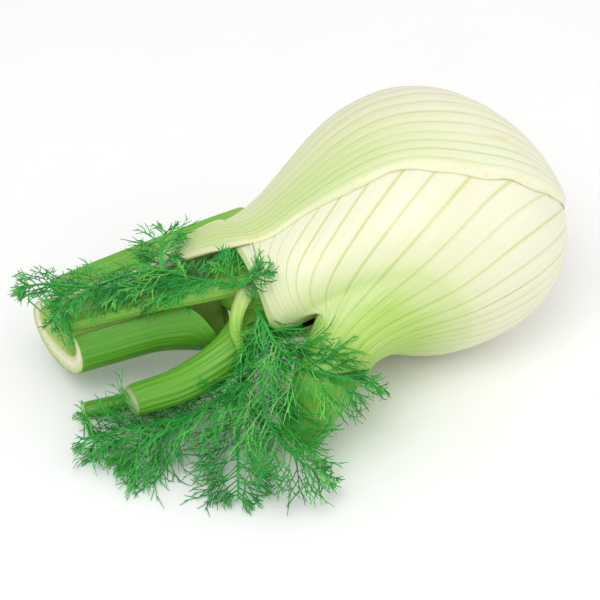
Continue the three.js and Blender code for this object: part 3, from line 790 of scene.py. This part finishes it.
# %% Packed inner leaves
HEART_SIDES = 180
HEART_ROWS = 90
HEART_BODY_ROWS = 66
HEART_DEPTH = 5.6
FOOT_HOLLOW = 13
LEAF_LAYERS = 26
MOUTH_HEIGHT = 37.5
NECK_CLOSING = np.array([
    (-62.0, 16.6, 11.6), (-65, 13.5, 9), (-69, 9.5, 7), (-72, 4, 3.5), (-72.4, 0, 0),
])
HEART_ROOT_TIP = (39.0, -8, 35.5)
HEART_NECK_TIP = (-72.4, 0, MOUTH_HEIGHT)


def lay_heart(column, row):
    turn = 2 * np.pi * column / HEART_SIDES
    polar = lerp(8 * DEG, RIM_ANGLE, clamp01(row / HEART_BODY_ROWS))
    mouth_rows = HEART_ROWS - HEART_BODY_ROWS - 2
    closing = clamp01((row - HEART_BODY_ROWS) / mouth_rows) * (len(NECK_CLOSING) - 1)
    from_foot = np.arccos(np.clip(direction_of(polar, turn).T @ foot_direction, -1, 1))
    hollow = FOOT_HOLLOW * hump(from_foot, 28 * DEG)
    count = LEAF_LAYERS * column / HEART_SIDES
    layer = np.sin(2 * np.pi * count)
    uneven = 0.35 * layer * smooth((polar / DEG - 60) / 60)
    base = on_body(polar, turn, -HEART_DEPTH - hollow + uneven)
    steps = np.arange(len(NECK_CLOSING))
    x, wide, high = (np.interp(closing, steps, NECK_CLOSING[:, i]) for i in range(3))
    ripple = 1 + 0.03 * layer
    y, z = -wide * ripple * np.sin(turn), MOUTH_HEIGHT + high * ripple * np.cos(turn)
    points = np.where((row > HEART_BODY_ROWS)[:, None], np.stack([x, y, z], axis=-1), base)
    points = np.where((row == 0)[:, None], [HEART_ROOT_TIP], points)
    points = np.where((row == HEART_ROWS)[:, None], [HEART_NECK_TIP], points)
    # Towards the neck's mouth: the inner leaves' own green, deepened as painted shade for the dark gap
    # between the outer leaves.
    green = 0.05 + 0.6 * smooth((polar / DEG - 120) / 30)
    return points, leaf_facts(count, along=0.5, green=green, peach=hump(polar / DEG - 8, 18))


heart = rolled_grid("heart", HEART_SIDES, HEART_ROWS, lay_heart)
sew_up(heart)

# %% Stalks of the inner leaves
MIDDLE_STALK = SmoothCurve([
    (-48, -2, 35), (-63, -9, 32.5), (-76.5, -16, 28), (-90.5, -14.5, 20.5), (-104, -5, 11),
])
LOW_STALK = SmoothCurve([
    (-50, -2, 36), (-61, -5, 29.5), (-70, -11, 20), (-86, -7, 9), (-100, 3, 3.4), (-115, 6.5, 2.8),
])
BENT_STALK = SmoothCurve([
    (-61, -6, 41), (-66.7, -9.5, 43), (-70.5, -13.2, 43.3), (-74, -16.6, 41.3), (-75.6, -19, 37.5),
    (-75.2, -20.6, 34), (-74.8, -21.5, 31),
])
YOUNG_STALK = SmoothCurve([
    (-50, 0, 42), (-64, -6, 43.5), (-78, -4, 43), (-95, 6, 37.2), (-116, 20, 26.7),
])
MIDDLE_CUT_AIM = (-0.25, -0.5, 0.45)
middle_stalk = stalk_tube(
    "middle_stalk", MIDDLE_STALK, (6.2, 5), ribs=17, green=(0.5, 0.86), seed=2, cut_aim=MIDDLE_CUT_AIM
)
low_stalk = stalk_tube("low_stalk", LOW_STALK, (3.4, 2.5), ribs=11, green=(0.6, 0.95), sides=66, seed=3)
bent_stalk = stalk_tube(
    "bent_stalk", BENT_STALK, (2.7, 1.2), ribs=9, green=(0.05, 0.6), sides=54, steps=60, seed=6
)
young_stalk = stalk_tube(
    "young_stalk", YOUNG_STALK, (3.5, 2.8), ribs=11, green=(0.36, 0.68), sides=66, seed=4
)

# %% [markdown]
# ## Root disc
# The root end was trimmed flat, and a plain cylinder would look machined there. So a cylinder is
# added at the disc's size and place, and its end is inset several times and pushed in or out a
# little each time. That gives the corky rim and the shallow scar of a real cut.

# %% Root disc
ROOT_DISC_RADIUS = 8.5
ROOT_DISC_END = 40.5
ROOT_DISC_DEPTH = 12
ROOT_DISC_RINGS = ((0.7, -0.05), (0.6, -0.5), (1.6, 0.2), (1.6, 0.15), (1.6, -0.15), (1.2, -0.1))
RIM_BEVEL = 0.5
root_centre = (ROOT_DISC_END - ROOT_DISC_DEPTH / 2, ROOT_SHIFT_Y, AXIS_HEIGHT - ROOT_DROP)
deselect_all()
bpy.ops.mesh.primitive_cylinder_add(
    vertices=72,
    radius=ROOT_DISC_RADIUS * MM,
    depth=ROOT_DISC_DEPTH * MM,
    location=[v * MM for v in root_centre],
    rotation=(0, math.pi / 2, 0),
)
root_disc = bpy.context.active_object
root_disc.name = "root_disc"
bpy.ops.object.transform_apply(location=True, rotation=True, scale=True)
edit_faces(root_disc, [face.normal.x > 0.9 for face in root_disc.data.polygons])
for inset, push in ROOT_DISC_RINGS:
    bpy.ops.mesh.inset(thickness=inset * MM, depth=push * MM)
bpy.ops.object.mode_set(mode="OBJECT")
bevel = root_disc.modifiers.new("soft_rim", "BEVEL")
bevel.width = RIM_BEVEL * MM
bevel.segments = 2
bevel.limit_method = "ANGLE"
bpy.ops.object.modifier_apply(modifier="soft_rim")
bpy.ops.object.shade_smooth_by_angle(angle=40 * DEG)
print("root disc faces:", len(root_disc.data.polygons))

# %% Facts for the root disc's finish
corners = len(root_disc.data.vertices)
where = np.empty(corners * 3)
root_disc.data.vertices.foreach_get("co", where)
where = where.reshape(-1, 3) / MM
from_centre = np.hypot(where[:, 1] - root_centre[1], where[:, 2] - root_centre[2])
set_facts(root_disc.data, leaf_facts(from_centre, peach=1.0))
print("root disc corners:", corners)

# %% [markdown]
# ## Finish of the leaves
# Every leaf shares one finish that changes along it: cream at the base, pale green at the neck,
# bright green on the stalk. It could be painted by hand, but paint would not follow the veins. So
# the attributes laid with the skins say where each part of it goes. Two effects are needed in
# more than one material, the lines of the veins and the fine fibres, so each is a node group that
# is built once.

# %% Helpers for materials
class Graph:
    """Adds nodes to one tree and wires them by socket name."""

    def __init__(self, tree):
        self.tree = tree

    def add(self, kind, settings=None, **wires):
        node = self.tree.nodes.new(kind)
        for key, value in (settings or {}).items():
            setattr(node, key, value)
        for key, value in wires.items():
            self.feed(node, key.replace("_", " "), value)
        return node

    def feed(self, node, socket, value):
        by_number = socket[0] == "i" and socket[1:].isdigit()
        spot = node.inputs[int(socket[1:])] if by_number else node.inputs[socket]
        if isinstance(value, bpy.types.NodeSocket):
            self.tree.links.new(value, spot)
        else:
            spot.default_value = value

    def fact(self, name):
        return self.add("ShaderNodeAttribute", {"attribute_name": name}).outputs["Fac"]

    def math(self, operation, a, b=0.0, c=0.0):
        return self.add("ShaderNodeMath", {"operation": operation}, i0=a, i1=b, i2=c).outputs[0]

    def times(self, a, b):
        return self.math("MULTIPLY", a, b)

    def plus(self, a, b):
        return self.math("ADD", a, b)

    def swing(self, value, reach):
        """A value about one half, turned into one about zero."""
        return self.times(self.math("SUBTRACT", value, 0.5), reach)

    def ease(self, value, low, high, out_low=0.0, out_high=1.0):
        node = self.add("ShaderNodeMapRange", {"interpolation_type": "SMOOTHSTEP"}, Value=value)
        limits = {"From Min": low, "From Max": high, "To Min": out_low, "To Max": out_high}
        for key, number in limits.items():
            node.inputs[key].default_value = number
        return node.outputs["Result"]

    def mix(self, amount, a, b):
        node = self.add("ShaderNodeMix", {"data_type": "RGBA"})
        self.feed(node, "i0", amount)
        self.feed(node, "i6", a)
        self.feed(node, "i7", b)
        return node.outputs[2]

    def ramp(self, value, stops):
        node = self.add("ShaderNodeValToRGB", Fac=value)
        band = node.color_ramp
        while len(band.elements) < len(stops):
            band.elements.new(0.5)
        for element, (place, colour) in zip(band.elements, stops):
            element.position = place
            element.color = (*colour, 1)
        return node.outputs["Color"]

    def noise(self, vector, scale, detail=3.0, rough=0.55):
        node = self.add("ShaderNodeTexNoise", Vector=vector, Scale=scale, Detail=detail, Roughness=rough)
        return node.outputs["Fac"]

    def vector(self, x, y, z):
        return self.add("ShaderNodeCombineXYZ", X=x, Y=y, Z=z).outputs[0]


# %% Helper for node groups
def new_group(name, inputs, outputs):
    group = bpy.data.node_groups.new(name, "ShaderNodeTree")
    for label, kind in inputs:
        group.interface.new_socket(name=label, in_out="INPUT", socket_type=kind)
    for label, kind in outputs:
        group.interface.new_socket(name=label, in_out="OUTPUT", socket_type=kind)
    entry = group.nodes.new("NodeGroupInput")
    leave = group.nodes.new("NodeGroupOutput")
    return group, entry, leave


print("node groups so far:", len(bpy.data.node_groups))

# %% Group: lines of the veins
vein_lines, entry, leave = new_group(
    "vein_lines",
    [("Count", "NodeSocketFloat"), ("Width", "NodeSocketFloat"), ("Wander", "NodeSocketFloat")],
    [("Line", "NodeSocketFloat"), ("Strength", "NodeSocketFloat")],
)
g = Graph(vein_lines)
place = g.add("ShaderNodeTexCoord").outputs["Object"]
wander = g.swing(g.noise(place, 60.0), entry.outputs["Wander"])
moved = g.plus(entry.outputs["Count"], wander)
edge = g.math("DIVIDE", g.math("PINGPONG", moved, 0.5), entry.outputs["Width"])
line = g.math("POWER", 2.718, g.times(g.times(edge, edge), -1.0))
own = g.add("ShaderNodeTexWhiteNoise", {"noise_dimensions": "1D"}, W=g.math("ROUND", moved))
patchy = g.ease(g.noise(place, 45.0), 0.3, 0.7, 0.6, 1.0)
strength = g.times(g.math("MULTIPLY_ADD", own.outputs["Value"], 0.5, 0.5), patchy)
vein_lines.links.new(line, leave.inputs["Line"])
vein_lines.links.new(strength, leave.inputs["Strength"])
print("group:", vein_lines.name)

# %% Group: fine fibres along the leaf
fibres, entry, leave = new_group(
    "fibres",
    [("Count", "NodeSocketFloat"), ("Along", "NodeSocketFloat"), ("Fineness", "NodeSocketFloat")],
    [("Streaks", "NodeSocketFloat"), ("Height", "NodeSocketFloat"), ("Mottle", "NodeSocketFloat")],
)
g = Graph(fibres)
place = g.add("ShaderNodeTexCoord").outputs["Object"]
across = g.times(entry.outputs["Count"], entry.outputs["Fineness"])
streaks = g.noise(g.vector(across, entry.outputs["Along"], 0.0), 3.0, 4.0, 0.6)
height = g.plus(g.times(streaks, 0.8), g.times(g.noise(place, 1500.0, 2.0), 0.35))
fibres.links.new(streaks, leave.inputs["Streaks"])
fibres.links.new(height, leave.inputs["Height"])
fibres.links.new(g.noise(place, 90.0, 4.0, 0.6), leave.inputs["Mottle"])
print("group:", fibres.name)

# %% [markdown]
# ## Layers of the leaf finish
# One long chain of nodes could hold every colour, but it would be hard to read. So each layer is a
# small function that mixes one colour over the one before. The green comes first, then a warm tint
# at the root, tan streaks, the veins, the dry edge with its rusty specks, and last the pale pith of
# a cut.

# %% Colours of the leaves
SKIN_COLOURS = (
    (0.0, (0.79, 0.775, 0.60)),
    (0.18, (0.69, 0.73, 0.43)),
    (0.42, (0.42, 0.61, 0.13)),
    (0.7, (0.16, 0.44, 0.03)),
    (1.0, (0.09, 0.33, 0.015)),
)
VEIN_COLOURS = (
    (0.0, (0.50, 0.57, 0.14)),
    (0.18, (0.44, 0.56, 0.14)),
    (0.42, (0.24, 0.46, 0.06)),
    (0.7, (0.10, 0.36, 0.03)),
    (1.0, (0.05, 0.27, 0.02)),
)
PITH_COLOURS = (
    (0.0, (0.20, 0.42, 0.05)),
    (0.10, (0.36, 0.50, 0.08)),
    (0.24, (0.58, 0.62, 0.26)),
    (0.5, (0.66, 0.68, 0.40)),
    (1.0, (0.80, 0.81, 0.62)),
)
PEACH_TINT = (0.90, 0.74, 0.42, 1)
TAN_TINT = (0.72, 0.55, 0.20, 1)
DRY_TINT = (0.90, 0.82, 0.58, 1)
RUST_TINT = (0.70, 0.33, 0.05, 1)
STRAND_TINT = (0.34, 0.48, 0.12, 1)
FIBRE_FINENESS = 3.0
VEIN_WANDER = 0.05
print("colours from base to stalk:", len(SKIN_COLOURS))

# %% Layers of colour
def green_layer(g, fact, fine):
    streaked = g.swing(fine.outputs["Streaks"], g.ease(fact["green"], 0.0, 0.5, 0.08, 0.4))
    return g.ramp(g.plus(fact["green"], streaked), SKIN_COLOURS)


def peach_layer(g, fact, fine, skin):
    mottled = g.ease(fine.outputs["Mottle"], 0.3, 0.7, 0.35, 1.0)
    warm = g.times(g.ease(fact["peach"], 0.2, 1.0), mottled)
    return g.mix(g.times(warm, 0.75), skin, PEACH_TINT)


def tan_layer(g, fact, skin, tan):
    drawn_out = g.vector(g.times(fact["vein"], 1.3), g.times(fact["along"], 2.6), 3.0)
    streak = g.ease(g.noise(drawn_out, 1.6, 4.0, 0.65), 0.56, 0.72)
    tanned = g.times(streak, g.ease(fact["green"], 0.0, 0.3, 1.0, 0.2))
    return g.mix(g.times(tanned, tan), skin, TAN_TINT)


def vein_layer(g, fact, skin, width, depth):
    veins = g.add(
        "ShaderNodeGroup", {"node_tree": vein_lines}, Count=fact["vein"], Width=width, Wander=VEIN_WANDER
    )
    amount = g.times(g.times(veins.outputs["Line"], veins.outputs["Strength"]), depth)
    faint = g.ease(fact["inside"], 0.2, 0.8, 1.0, 0.35)
    return g.mix(g.times(amount, faint), skin, g.ramp(fact["green"], VEIN_COLOURS))


def dry_layer(g, fact, place, skin):
    band = g.times(g.ease(fact["edge"], 1.2, 4.0, 1.0, 0.0), g.ease(fact["green"], 0.2, 0.5, 1.0, 0.0))
    skin = g.mix(g.times(band, 0.45), skin, DRY_TINT)
    scattered = g.ease(g.noise(place, 90.0), 0.42, 0.6)
    specks = g.times(g.ease(g.noise(place, 700.0, 2.0), 0.56, 0.66), scattered)
    shoulder = g.times(g.ease(fact["peach"], 0.3, 0.9), g.ease(fact["green"], 0.05, 0.15))
    marked = g.math("MAXIMUM", g.times(band, 0.3), shoulder)
    return g.mix(g.times(g.times(specks, marked), 0.8), skin, RUST_TINT)


def pith_layer(g, fact, place, skin):
    pith = g.ramp(g.plus(fact["cut"], g.swing(g.noise(place, 420.0), 0.2)), PITH_COLOURS)
    strands = g.times(g.ease(g.noise(place, 900.0, 1.0), 0.62, 0.70), g.ease(fact["cut"], 0.1, 0.3))
    pith = g.mix(g.times(strands, 0.6), pith, STRAND_TINT)
    return g.mix(g.ease(fact["cut"], 0.005, 0.03), skin, pith)


# %% Leaf finish
def leaf_finish(name, vein_width, vein_depth, tan):
    material = bpy.data.materials.new(name)
    material.use_nodes = True
    g = Graph(material.node_tree)
    shader = material.node_tree.nodes["Principled BSDF"]
    fact = {key: g.fact(key) for key in ("vein", "along", "green", "cut", "edge", "peach", "inside")}
    place = g.add("ShaderNodeTexCoord").outputs["Object"]
    lie = {"Count": fact["vein"], "Along": fact["along"]}
    fine = g.add("ShaderNodeGroup", {"node_tree": fibres}, Fineness=FIBRE_FINENESS, **lie)
    skin = green_layer(g, fact, fine)
    skin = peach_layer(g, fact, fine, skin)
    skin = tan_layer(g, fact, skin, tan)
    skin = vein_layer(g, fact, skin, vein_width, vein_depth)
    skin = dry_layer(g, fact, place, skin)
    skin = pith_layer(g, fact, place, skin)
    g.feed(shader, "Base Color", skin)
    satin = g.ease(fine.outputs["Mottle"], 0.25, 0.75, 0.30, 0.46)
    g.feed(shader, "Roughness", g.plus(satin, g.times(g.ease(fact["cut"], 0.0, 0.1), 0.2)))
    bump = g.add("ShaderNodeBump", Strength=0.22, Distance=0.0006, Height=fine.outputs["Height"])
    g.feed(shader, "Normal", bump.outputs["Normal"])
    shader.inputs["Subsurface Weight"].default_value = 0.12
    shader.inputs["Subsurface Scale"].default_value = 0.004
    return material


front_finish = leaf_finish("front_leaf_finish", vein_width=0.065, vein_depth=1.0, tan=0.16)
back_finish = leaf_finish("back_leaf_finish", vein_width=0.10, vein_depth=0.65, tan=0.6)
heart_finish = leaf_finish("heart_finish", vein_width=0.2, vein_depth=0.4, tan=0.1)
rear_finish = leaf_finish("rear_leaf_finish", vein_width=0.2, vein_depth=0.5, tan=0.15)
print("materials:", len(bpy.data.materials))

# %% Dress every leaf
def dress(piece, material, node):
    """Gives a piece its finish and says which solid it stands in for."""
    piece.data.materials.clear()
    piece.data.materials.append(material)
    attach(piece, "root")
    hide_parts(node)
    print(piece.name, "stands in for", node)


dress(front_leaf, front_finish, "front_leaf")
dress(back_leaf, back_finish, "back_leaf")
dress(rear_leaf, rear_finish, "rear_leaf")
for piece in (heart, middle_stalk, low_stalk, bent_stalk, young_stalk, root_disc):
    dress(piece, heart_finish, "inner_leaves")

# %% [markdown]
# ## Fronds
# A fennel frond is a rib with branches in two rows, branches on those, and threads that fork at
# their ends. A hair system could grow them, but hairs would not be part of the mesh. So one
# thread is modelled as a slim three-sided cone, and its copies follow a rule with a fixed seed. The
# fronds come out the same each time, and they keep clear of leaves and floor.

# %% One thread
CONE_TOP = 0.45
deselect_all()
bpy.ops.mesh.primitive_cone_add(vertices=3, radius1=1, radius2=CONE_TOP, depth=1, location=(0, 0, 0.5))
thread = bpy.context.active_object
thread.name = "thread"
bpy.ops.object.transform_apply(location=True, rotation=True, scale=True)
thread_corners = np.array([v.co[:] for v in thread.data.vertices])
thread_faces = [tuple(f.vertices) for f in thread.data.polygons]
bpy.data.objects.remove(thread)
print("a thread has faces:", len(thread_faces))

# %% Courses of the ribs, as in the solids
# For each frond: its seed, how far its branches reach, how much they lift, and its ribs.
FRONDS = {
    "frond_upper": (3, 9, -0.12, [
        [(-71.2, -10, 46.8), (-77.6, -5, 47.6), (-82, 0, 47.2), (-87, 7, 46.8), (-94, 12, 44.6),
         (-101, 15, 42), (-109, 15, 40.5), (-117, 13, 39.5), (-122.5, 9, 38)],
        [(-77.6, -5, 47.6), (-87.5, 1, 45.2), (-97.2, 8.5, 43), (-111.5, 18, 42),
         (-119.4, 24, 41.5), (-125.4, 27, 39.8)],
        [(-87, 7, 46.8), (-84, 14, 47.6), (-79, 21, 49)],
    ]),
    "frond_tufts": (5, 6.5, 0.3, [
        [(-69.7, -10.5, 47.2), (-72.3, -8, 50.2), (-74.2, -4, 53)],
        [(-69.7, -10.5, 47.2), (-66, -13, 50.6), (-62, -14.6, 53)],
    ]),
    "frond_centre": (8, 13.5, -0.05, [
        [(-67.6, -15.8, 42), (-66.8, -19.5, 38.5), (-66.5, -27, 35.5), (-63, -37, 33),
         (-53.5, -45, 30.5), (-42, -45, 24)],
        [(-66.8, -19.5, 38.5), (-69.5, -25, 34), (-74.5, -33, 27), (-77, -43, 21),
         (-73, -54, 14), (-64, -58, 6.5)],
    ]),
    "frond_lower": (11, 15, -0.1, [
        [(-73, -22.5, 22.5), (-82, -23.5, 19.5), (-92, -21, 13), (-102, -14.5, 8.5),
         (-112, -10, 6), (-122, -6, 4)],
        [(-92, -21, 13), (-98, -19.5, 8), (-107, -18, 5), (-115, -19, 3)],
    ]),
    "frond_bottom": (14, 14, 0.0, [
        [(-73.5, -24.5, 25.5), (-77, -26.5, 18), (-81.5, -31, 9), (-86, -40, 5), (-91, -50, 3.2)],
    ]),
}
RIB_RADIUS = (0.85, 0.32)
print("ribs:", sum(len(ribs) for _, _, _, ribs in FRONDS.values()))

# %% Keeping threads clear of the leaves
THREAD_CLEARANCE = 0.5
FLOOR_CLEARANCE = 0.35
SEARCH_REACH = 12 * MM
leaf_pieces = (front_leaf, back_leaf, rear_leaf, heart, middle_stalk, low_stalk, bent_stalk, young_stalk)
depsgraph = bpy.context.evaluated_depsgraph_get()
leaf_surfaces = [BVHTree.FromObject(piece, depsgraph) for piece in leaf_pieces]


def kept_clear(point):
    """The point in millimetres, pushed out of any leaf that it is in or too near to."""
    for _ in range(2):
        for surface in leaf_surfaces:
            spot, normal, _, _ = surface.find_nearest(Vector(point * MM), SEARCH_REACH)
            if spot is None:
                continue
            away = Vector(point * MM) - spot
            outside = away.dot(normal) > 0
            if outside and away.length > THREAD_CLEARANCE * MM:
                continue
            point = np.array(spot + normal * THREAD_CLEARANCE * MM) / MM
    point[2] = max(point[2], FLOOR_CLEARANCE)
    return point


print("a point under the floor is lifted to", kept_clear(np.array([0.0, -90.0, -5.0])))

# %% Growing one thread and what branches off it
THREAD_NARROWS = 0.55
SIDE_THREADS = {2: 5, 1: 2}
SAG = np.array([0, 0, -0.12])


def grow_strand(threads, chance, start, heading, length, thick, depth, shade):
    """One thread in bent parts, with side threads in two rows down to a forked end."""
    steps = 3 if depth > 1 else 2
    heading = heading / np.linalg.norm(heading)
    spots = [start]
    bend = chance.normal(0, 0.09, 3)
    for k in range(steps):
        heading = heading + bend / steps + SAG / steps
        heading = heading / np.linalg.norm(heading)
        aim = kept_clear(spots[-1] + heading * length / steps)
        wide = lerp(thick, THREAD_NARROWS * thick, k / steps)
        slim = lerp(thick, THREAD_NARROWS * thick, (k + 1) / steps)
        threads.append((spots[-1], aim, wide, slim, shade))
        spots.append(aim)
    if depth == 0:
        return
    side = np.cross(heading, [0, 0, 1.0]) + chance.normal(0, 0.35, 3)
    side = side / np.linalg.norm(side)
    count = SIDE_THREADS[depth]
    for k in range(count):
        f = 0.25 + 0.75 * (k + 0.5) / count
        i = min(int(f * steps), steps - 1)
        base = lerp(spots[i], spots[i + 1], f * steps - i)
        hand = 1 if k % 2 == 0 else -1
        turn = heading * (0.9 + 0.2 * chance.random()) + side * hand * (0.40 + 0.22 * chance.random())
        turn = turn + np.array([0, 0, 0.28 * chance.normal()])
        size = length * (0.74 - 0.26 * f) * (0.8 + 0.4 * chance.random())
        tint = shade + 0.08 * chance.normal()
        grow_strand(threads, chance, base, turn, size, thick * 0.86, depth - 1, tint)


print("threads that leave one branch:", SIDE_THREADS[2])

# %% Growing a whole frond
BRANCHES_PER_MM = 1.1
FEWEST_BRANCHES = 14
BRANCH_RADIUS = 0.25
BRANCH_DEPTH = 2
RIB_SHADE = 0.45


def grow_frond(seed, reach, lift, ribs):
    """Every rib as a chain of threads, with branches to its left and right."""
    chance = np.random.default_rng(seed)
    threads = []
    for rib in ribs:
        curve = SmoothCurve(rib)
        spots = curve.at(np.linspace(0, 1, 6 * len(rib)))
        for k in range(len(spots) - 1):
            wide = lerp(*RIB_RADIUS, k / (len(spots) - 1))
            threads.append((spots[k], spots[k + 1], wide, wide, RIB_SHADE))
        length = np.linalg.norm(np.diff(spots, axis=0), axis=1).sum()
        branches = max(FEWEST_BRANCHES, int(BRANCHES_PER_MM * length))
        for i in range(branches):
            f = 0.06 + 0.94 * (i + 0.5) / branches
            base = curve.at(np.array([f]))[0]
            along = curve.along(np.array([f]))[0]
            side = np.cross(along, [0, 0, 1.0])
            side = side / np.linalg.norm(side)
            hand = 1 if i % 2 == 0 else -1
            aim = along * (0.55 + 0.4 * chance.random()) + side * hand * (0.8 + 0.3 * chance.random())
            aim = aim + np.array([0, 0, lift + 0.5 * chance.normal()])
            size = reach * (0.5 + 0.45 * math.sin(math.pi * f)) * (0.75 + 0.4 * chance.random())
            size = size * (1 - 0.45 * smooth((f - 0.75) / 0.25))
            shade = 0.5 + 0.2 * chance.normal()
            grow_strand(threads, chance, base, aim, size, BRANCH_RADIUS, BRANCH_DEPTH, shade)
    return threads


print("branches on a rib of 60 mm:", max(FEWEST_BRANCHES, int(BRANCHES_PER_MM * 60)))

# %% Turning threads into a mesh
LOWEST_CORNER = 0.05


def frond_mesh(name, threads):
    """Copies the one cone to every thread, stretched to its length and thickness."""
    start, end, thick, thin, shade = (np.array([t[i] for t in threads]) for i in range(5))
    along = end - start
    length = np.maximum(np.linalg.norm(along, axis=1), 1e-3)[:, None]
    along = along / length
    side = unit(np.cross(along, [[0.31, 0.17, 0.94]]) + 1e-6)
    over = np.cross(along, side)
    at_foot = thread_corners[:, 2] < 0.5
    outline = thread_corners[:, :2] * np.where(at_foot, 1.0, 1 / CONE_TOP)[:, None]
    wide = np.where(at_foot, thick[:, None], thin[:, None])
    x = (outline[:, 0] * wide)[..., None]
    y = (outline[:, 1] * wide)[..., None]
    z = (thread_corners[:, 2] * length)[..., None]
    corners = start[:, None] + side[:, None] * x + over[:, None] * y + along[:, None] * z
    corners[..., 2] = np.maximum(corners[..., 2], LOWEST_CORNER)
    count = len(thread_corners)
    faces = [tuple(k * count + v for v in face) for k in range(len(threads)) for face in thread_faces]
    mesh = bpy.data.meshes.new(name)
    mesh.from_pydata((corners.reshape(-1, 3) * MM).tolist(), [], faces)
    set_facts(mesh, {"shade": np.repeat(clamp01(shade), count)})
    piece = bpy.data.objects.new(name, mesh)
    bpy.context.scene.collection.objects.link(piece)
    return piece


print("corners of one thread:", len(thread_corners))

# %% [markdown]
# ## Finish of the fronds
# The leaflets are a deep, slightly bluish green, and young ones are brighter. One flat green would
# melt them into a single mass. So each thread carries its own shade as an attribute, and a soft
# noise adds blotches.

# %% Frond finish
FROND_COLOURS = (
    (0.0, (0.010, 0.14, 0.022)),
    (0.4, (0.022, 0.34, 0.045)),
    (0.7, (0.06, 0.46, 0.06)),
    (1.0, (0.16, 0.58, 0.08)),
)
frond_finish = bpy.data.materials.new("frond_finish")
frond_finish.use_nodes = True
g = Graph(frond_finish.node_tree)
shader = frond_finish.node_tree.nodes["Principled BSDF"]
place = g.add("ShaderNodeTexCoord").outputs["Object"]
blotch = g.noise(place, 160.0, 3.0)
g.feed(shader, "Base Color", g.ramp(g.plus(g.fact("shade"), g.swing(blotch, 0.6)), FROND_COLOURS))
g.feed(shader, "Roughness", g.ease(blotch, 0.3, 0.7, 0.40, 0.58))
grain = g.add("ShaderNodeBump", Strength=0.2, Distance=0.0002, Height=g.noise(place, 2500.0))
g.feed(shader, "Normal", grain.outputs["Normal"])
print("shades of the fronds:", len(FROND_COLOURS))

# %% Make the fronds
for name, (seed, reach, lift, ribs) in FRONDS.items():
    threads = grow_frond(seed, reach, lift, ribs)
    piece = frond_mesh(name + "_threads", threads)
    dress(piece, frond_finish, name)
    print(piece.name, "threads", len(threads))

# %% [markdown]
# ## Floor
# The bulb lies on a plain pale floor, so its shadow shows that it rests. The floor could be left
# out, but then the bulb would float. A plane is enough, because it is no part of the bulb.

# %% Floor
deselect_all()
bpy.ops.mesh.primitive_plane_add(size=4, location=(0, 0, 0))
floor = bpy.context.active_object
floor.name = "floor"
floor_finish = bpy.data.materials.new("floor_finish")
floor_finish.use_nodes = True
g = Graph(floor_finish.node_tree)
place = g.add("ShaderNodeTexCoord").outputs["Object"]
shader = floor_finish.node_tree.nodes["Principled BSDF"]
g.feed(shader, "Base Color", g.mix(g.noise(place, 30.0), (0.90, 0.90, 0.90, 1), (0.94, 0.94, 0.94, 1)))
shader.inputs["Roughness"].default_value = 0.8
floor.data.materials.append(floor_finish)
print("floor size:", [round(v, 1) for v in floor.dimensions])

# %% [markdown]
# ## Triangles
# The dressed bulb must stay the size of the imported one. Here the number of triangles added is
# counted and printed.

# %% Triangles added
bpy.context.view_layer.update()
new_pieces = [o for o in bpy.data.objects if o.type == "MESH" and o.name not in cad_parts]
added = sum(len(face.vertices) - 2 for piece in new_pieces for face in piece.data.polygons)
print("triangles added:", added)
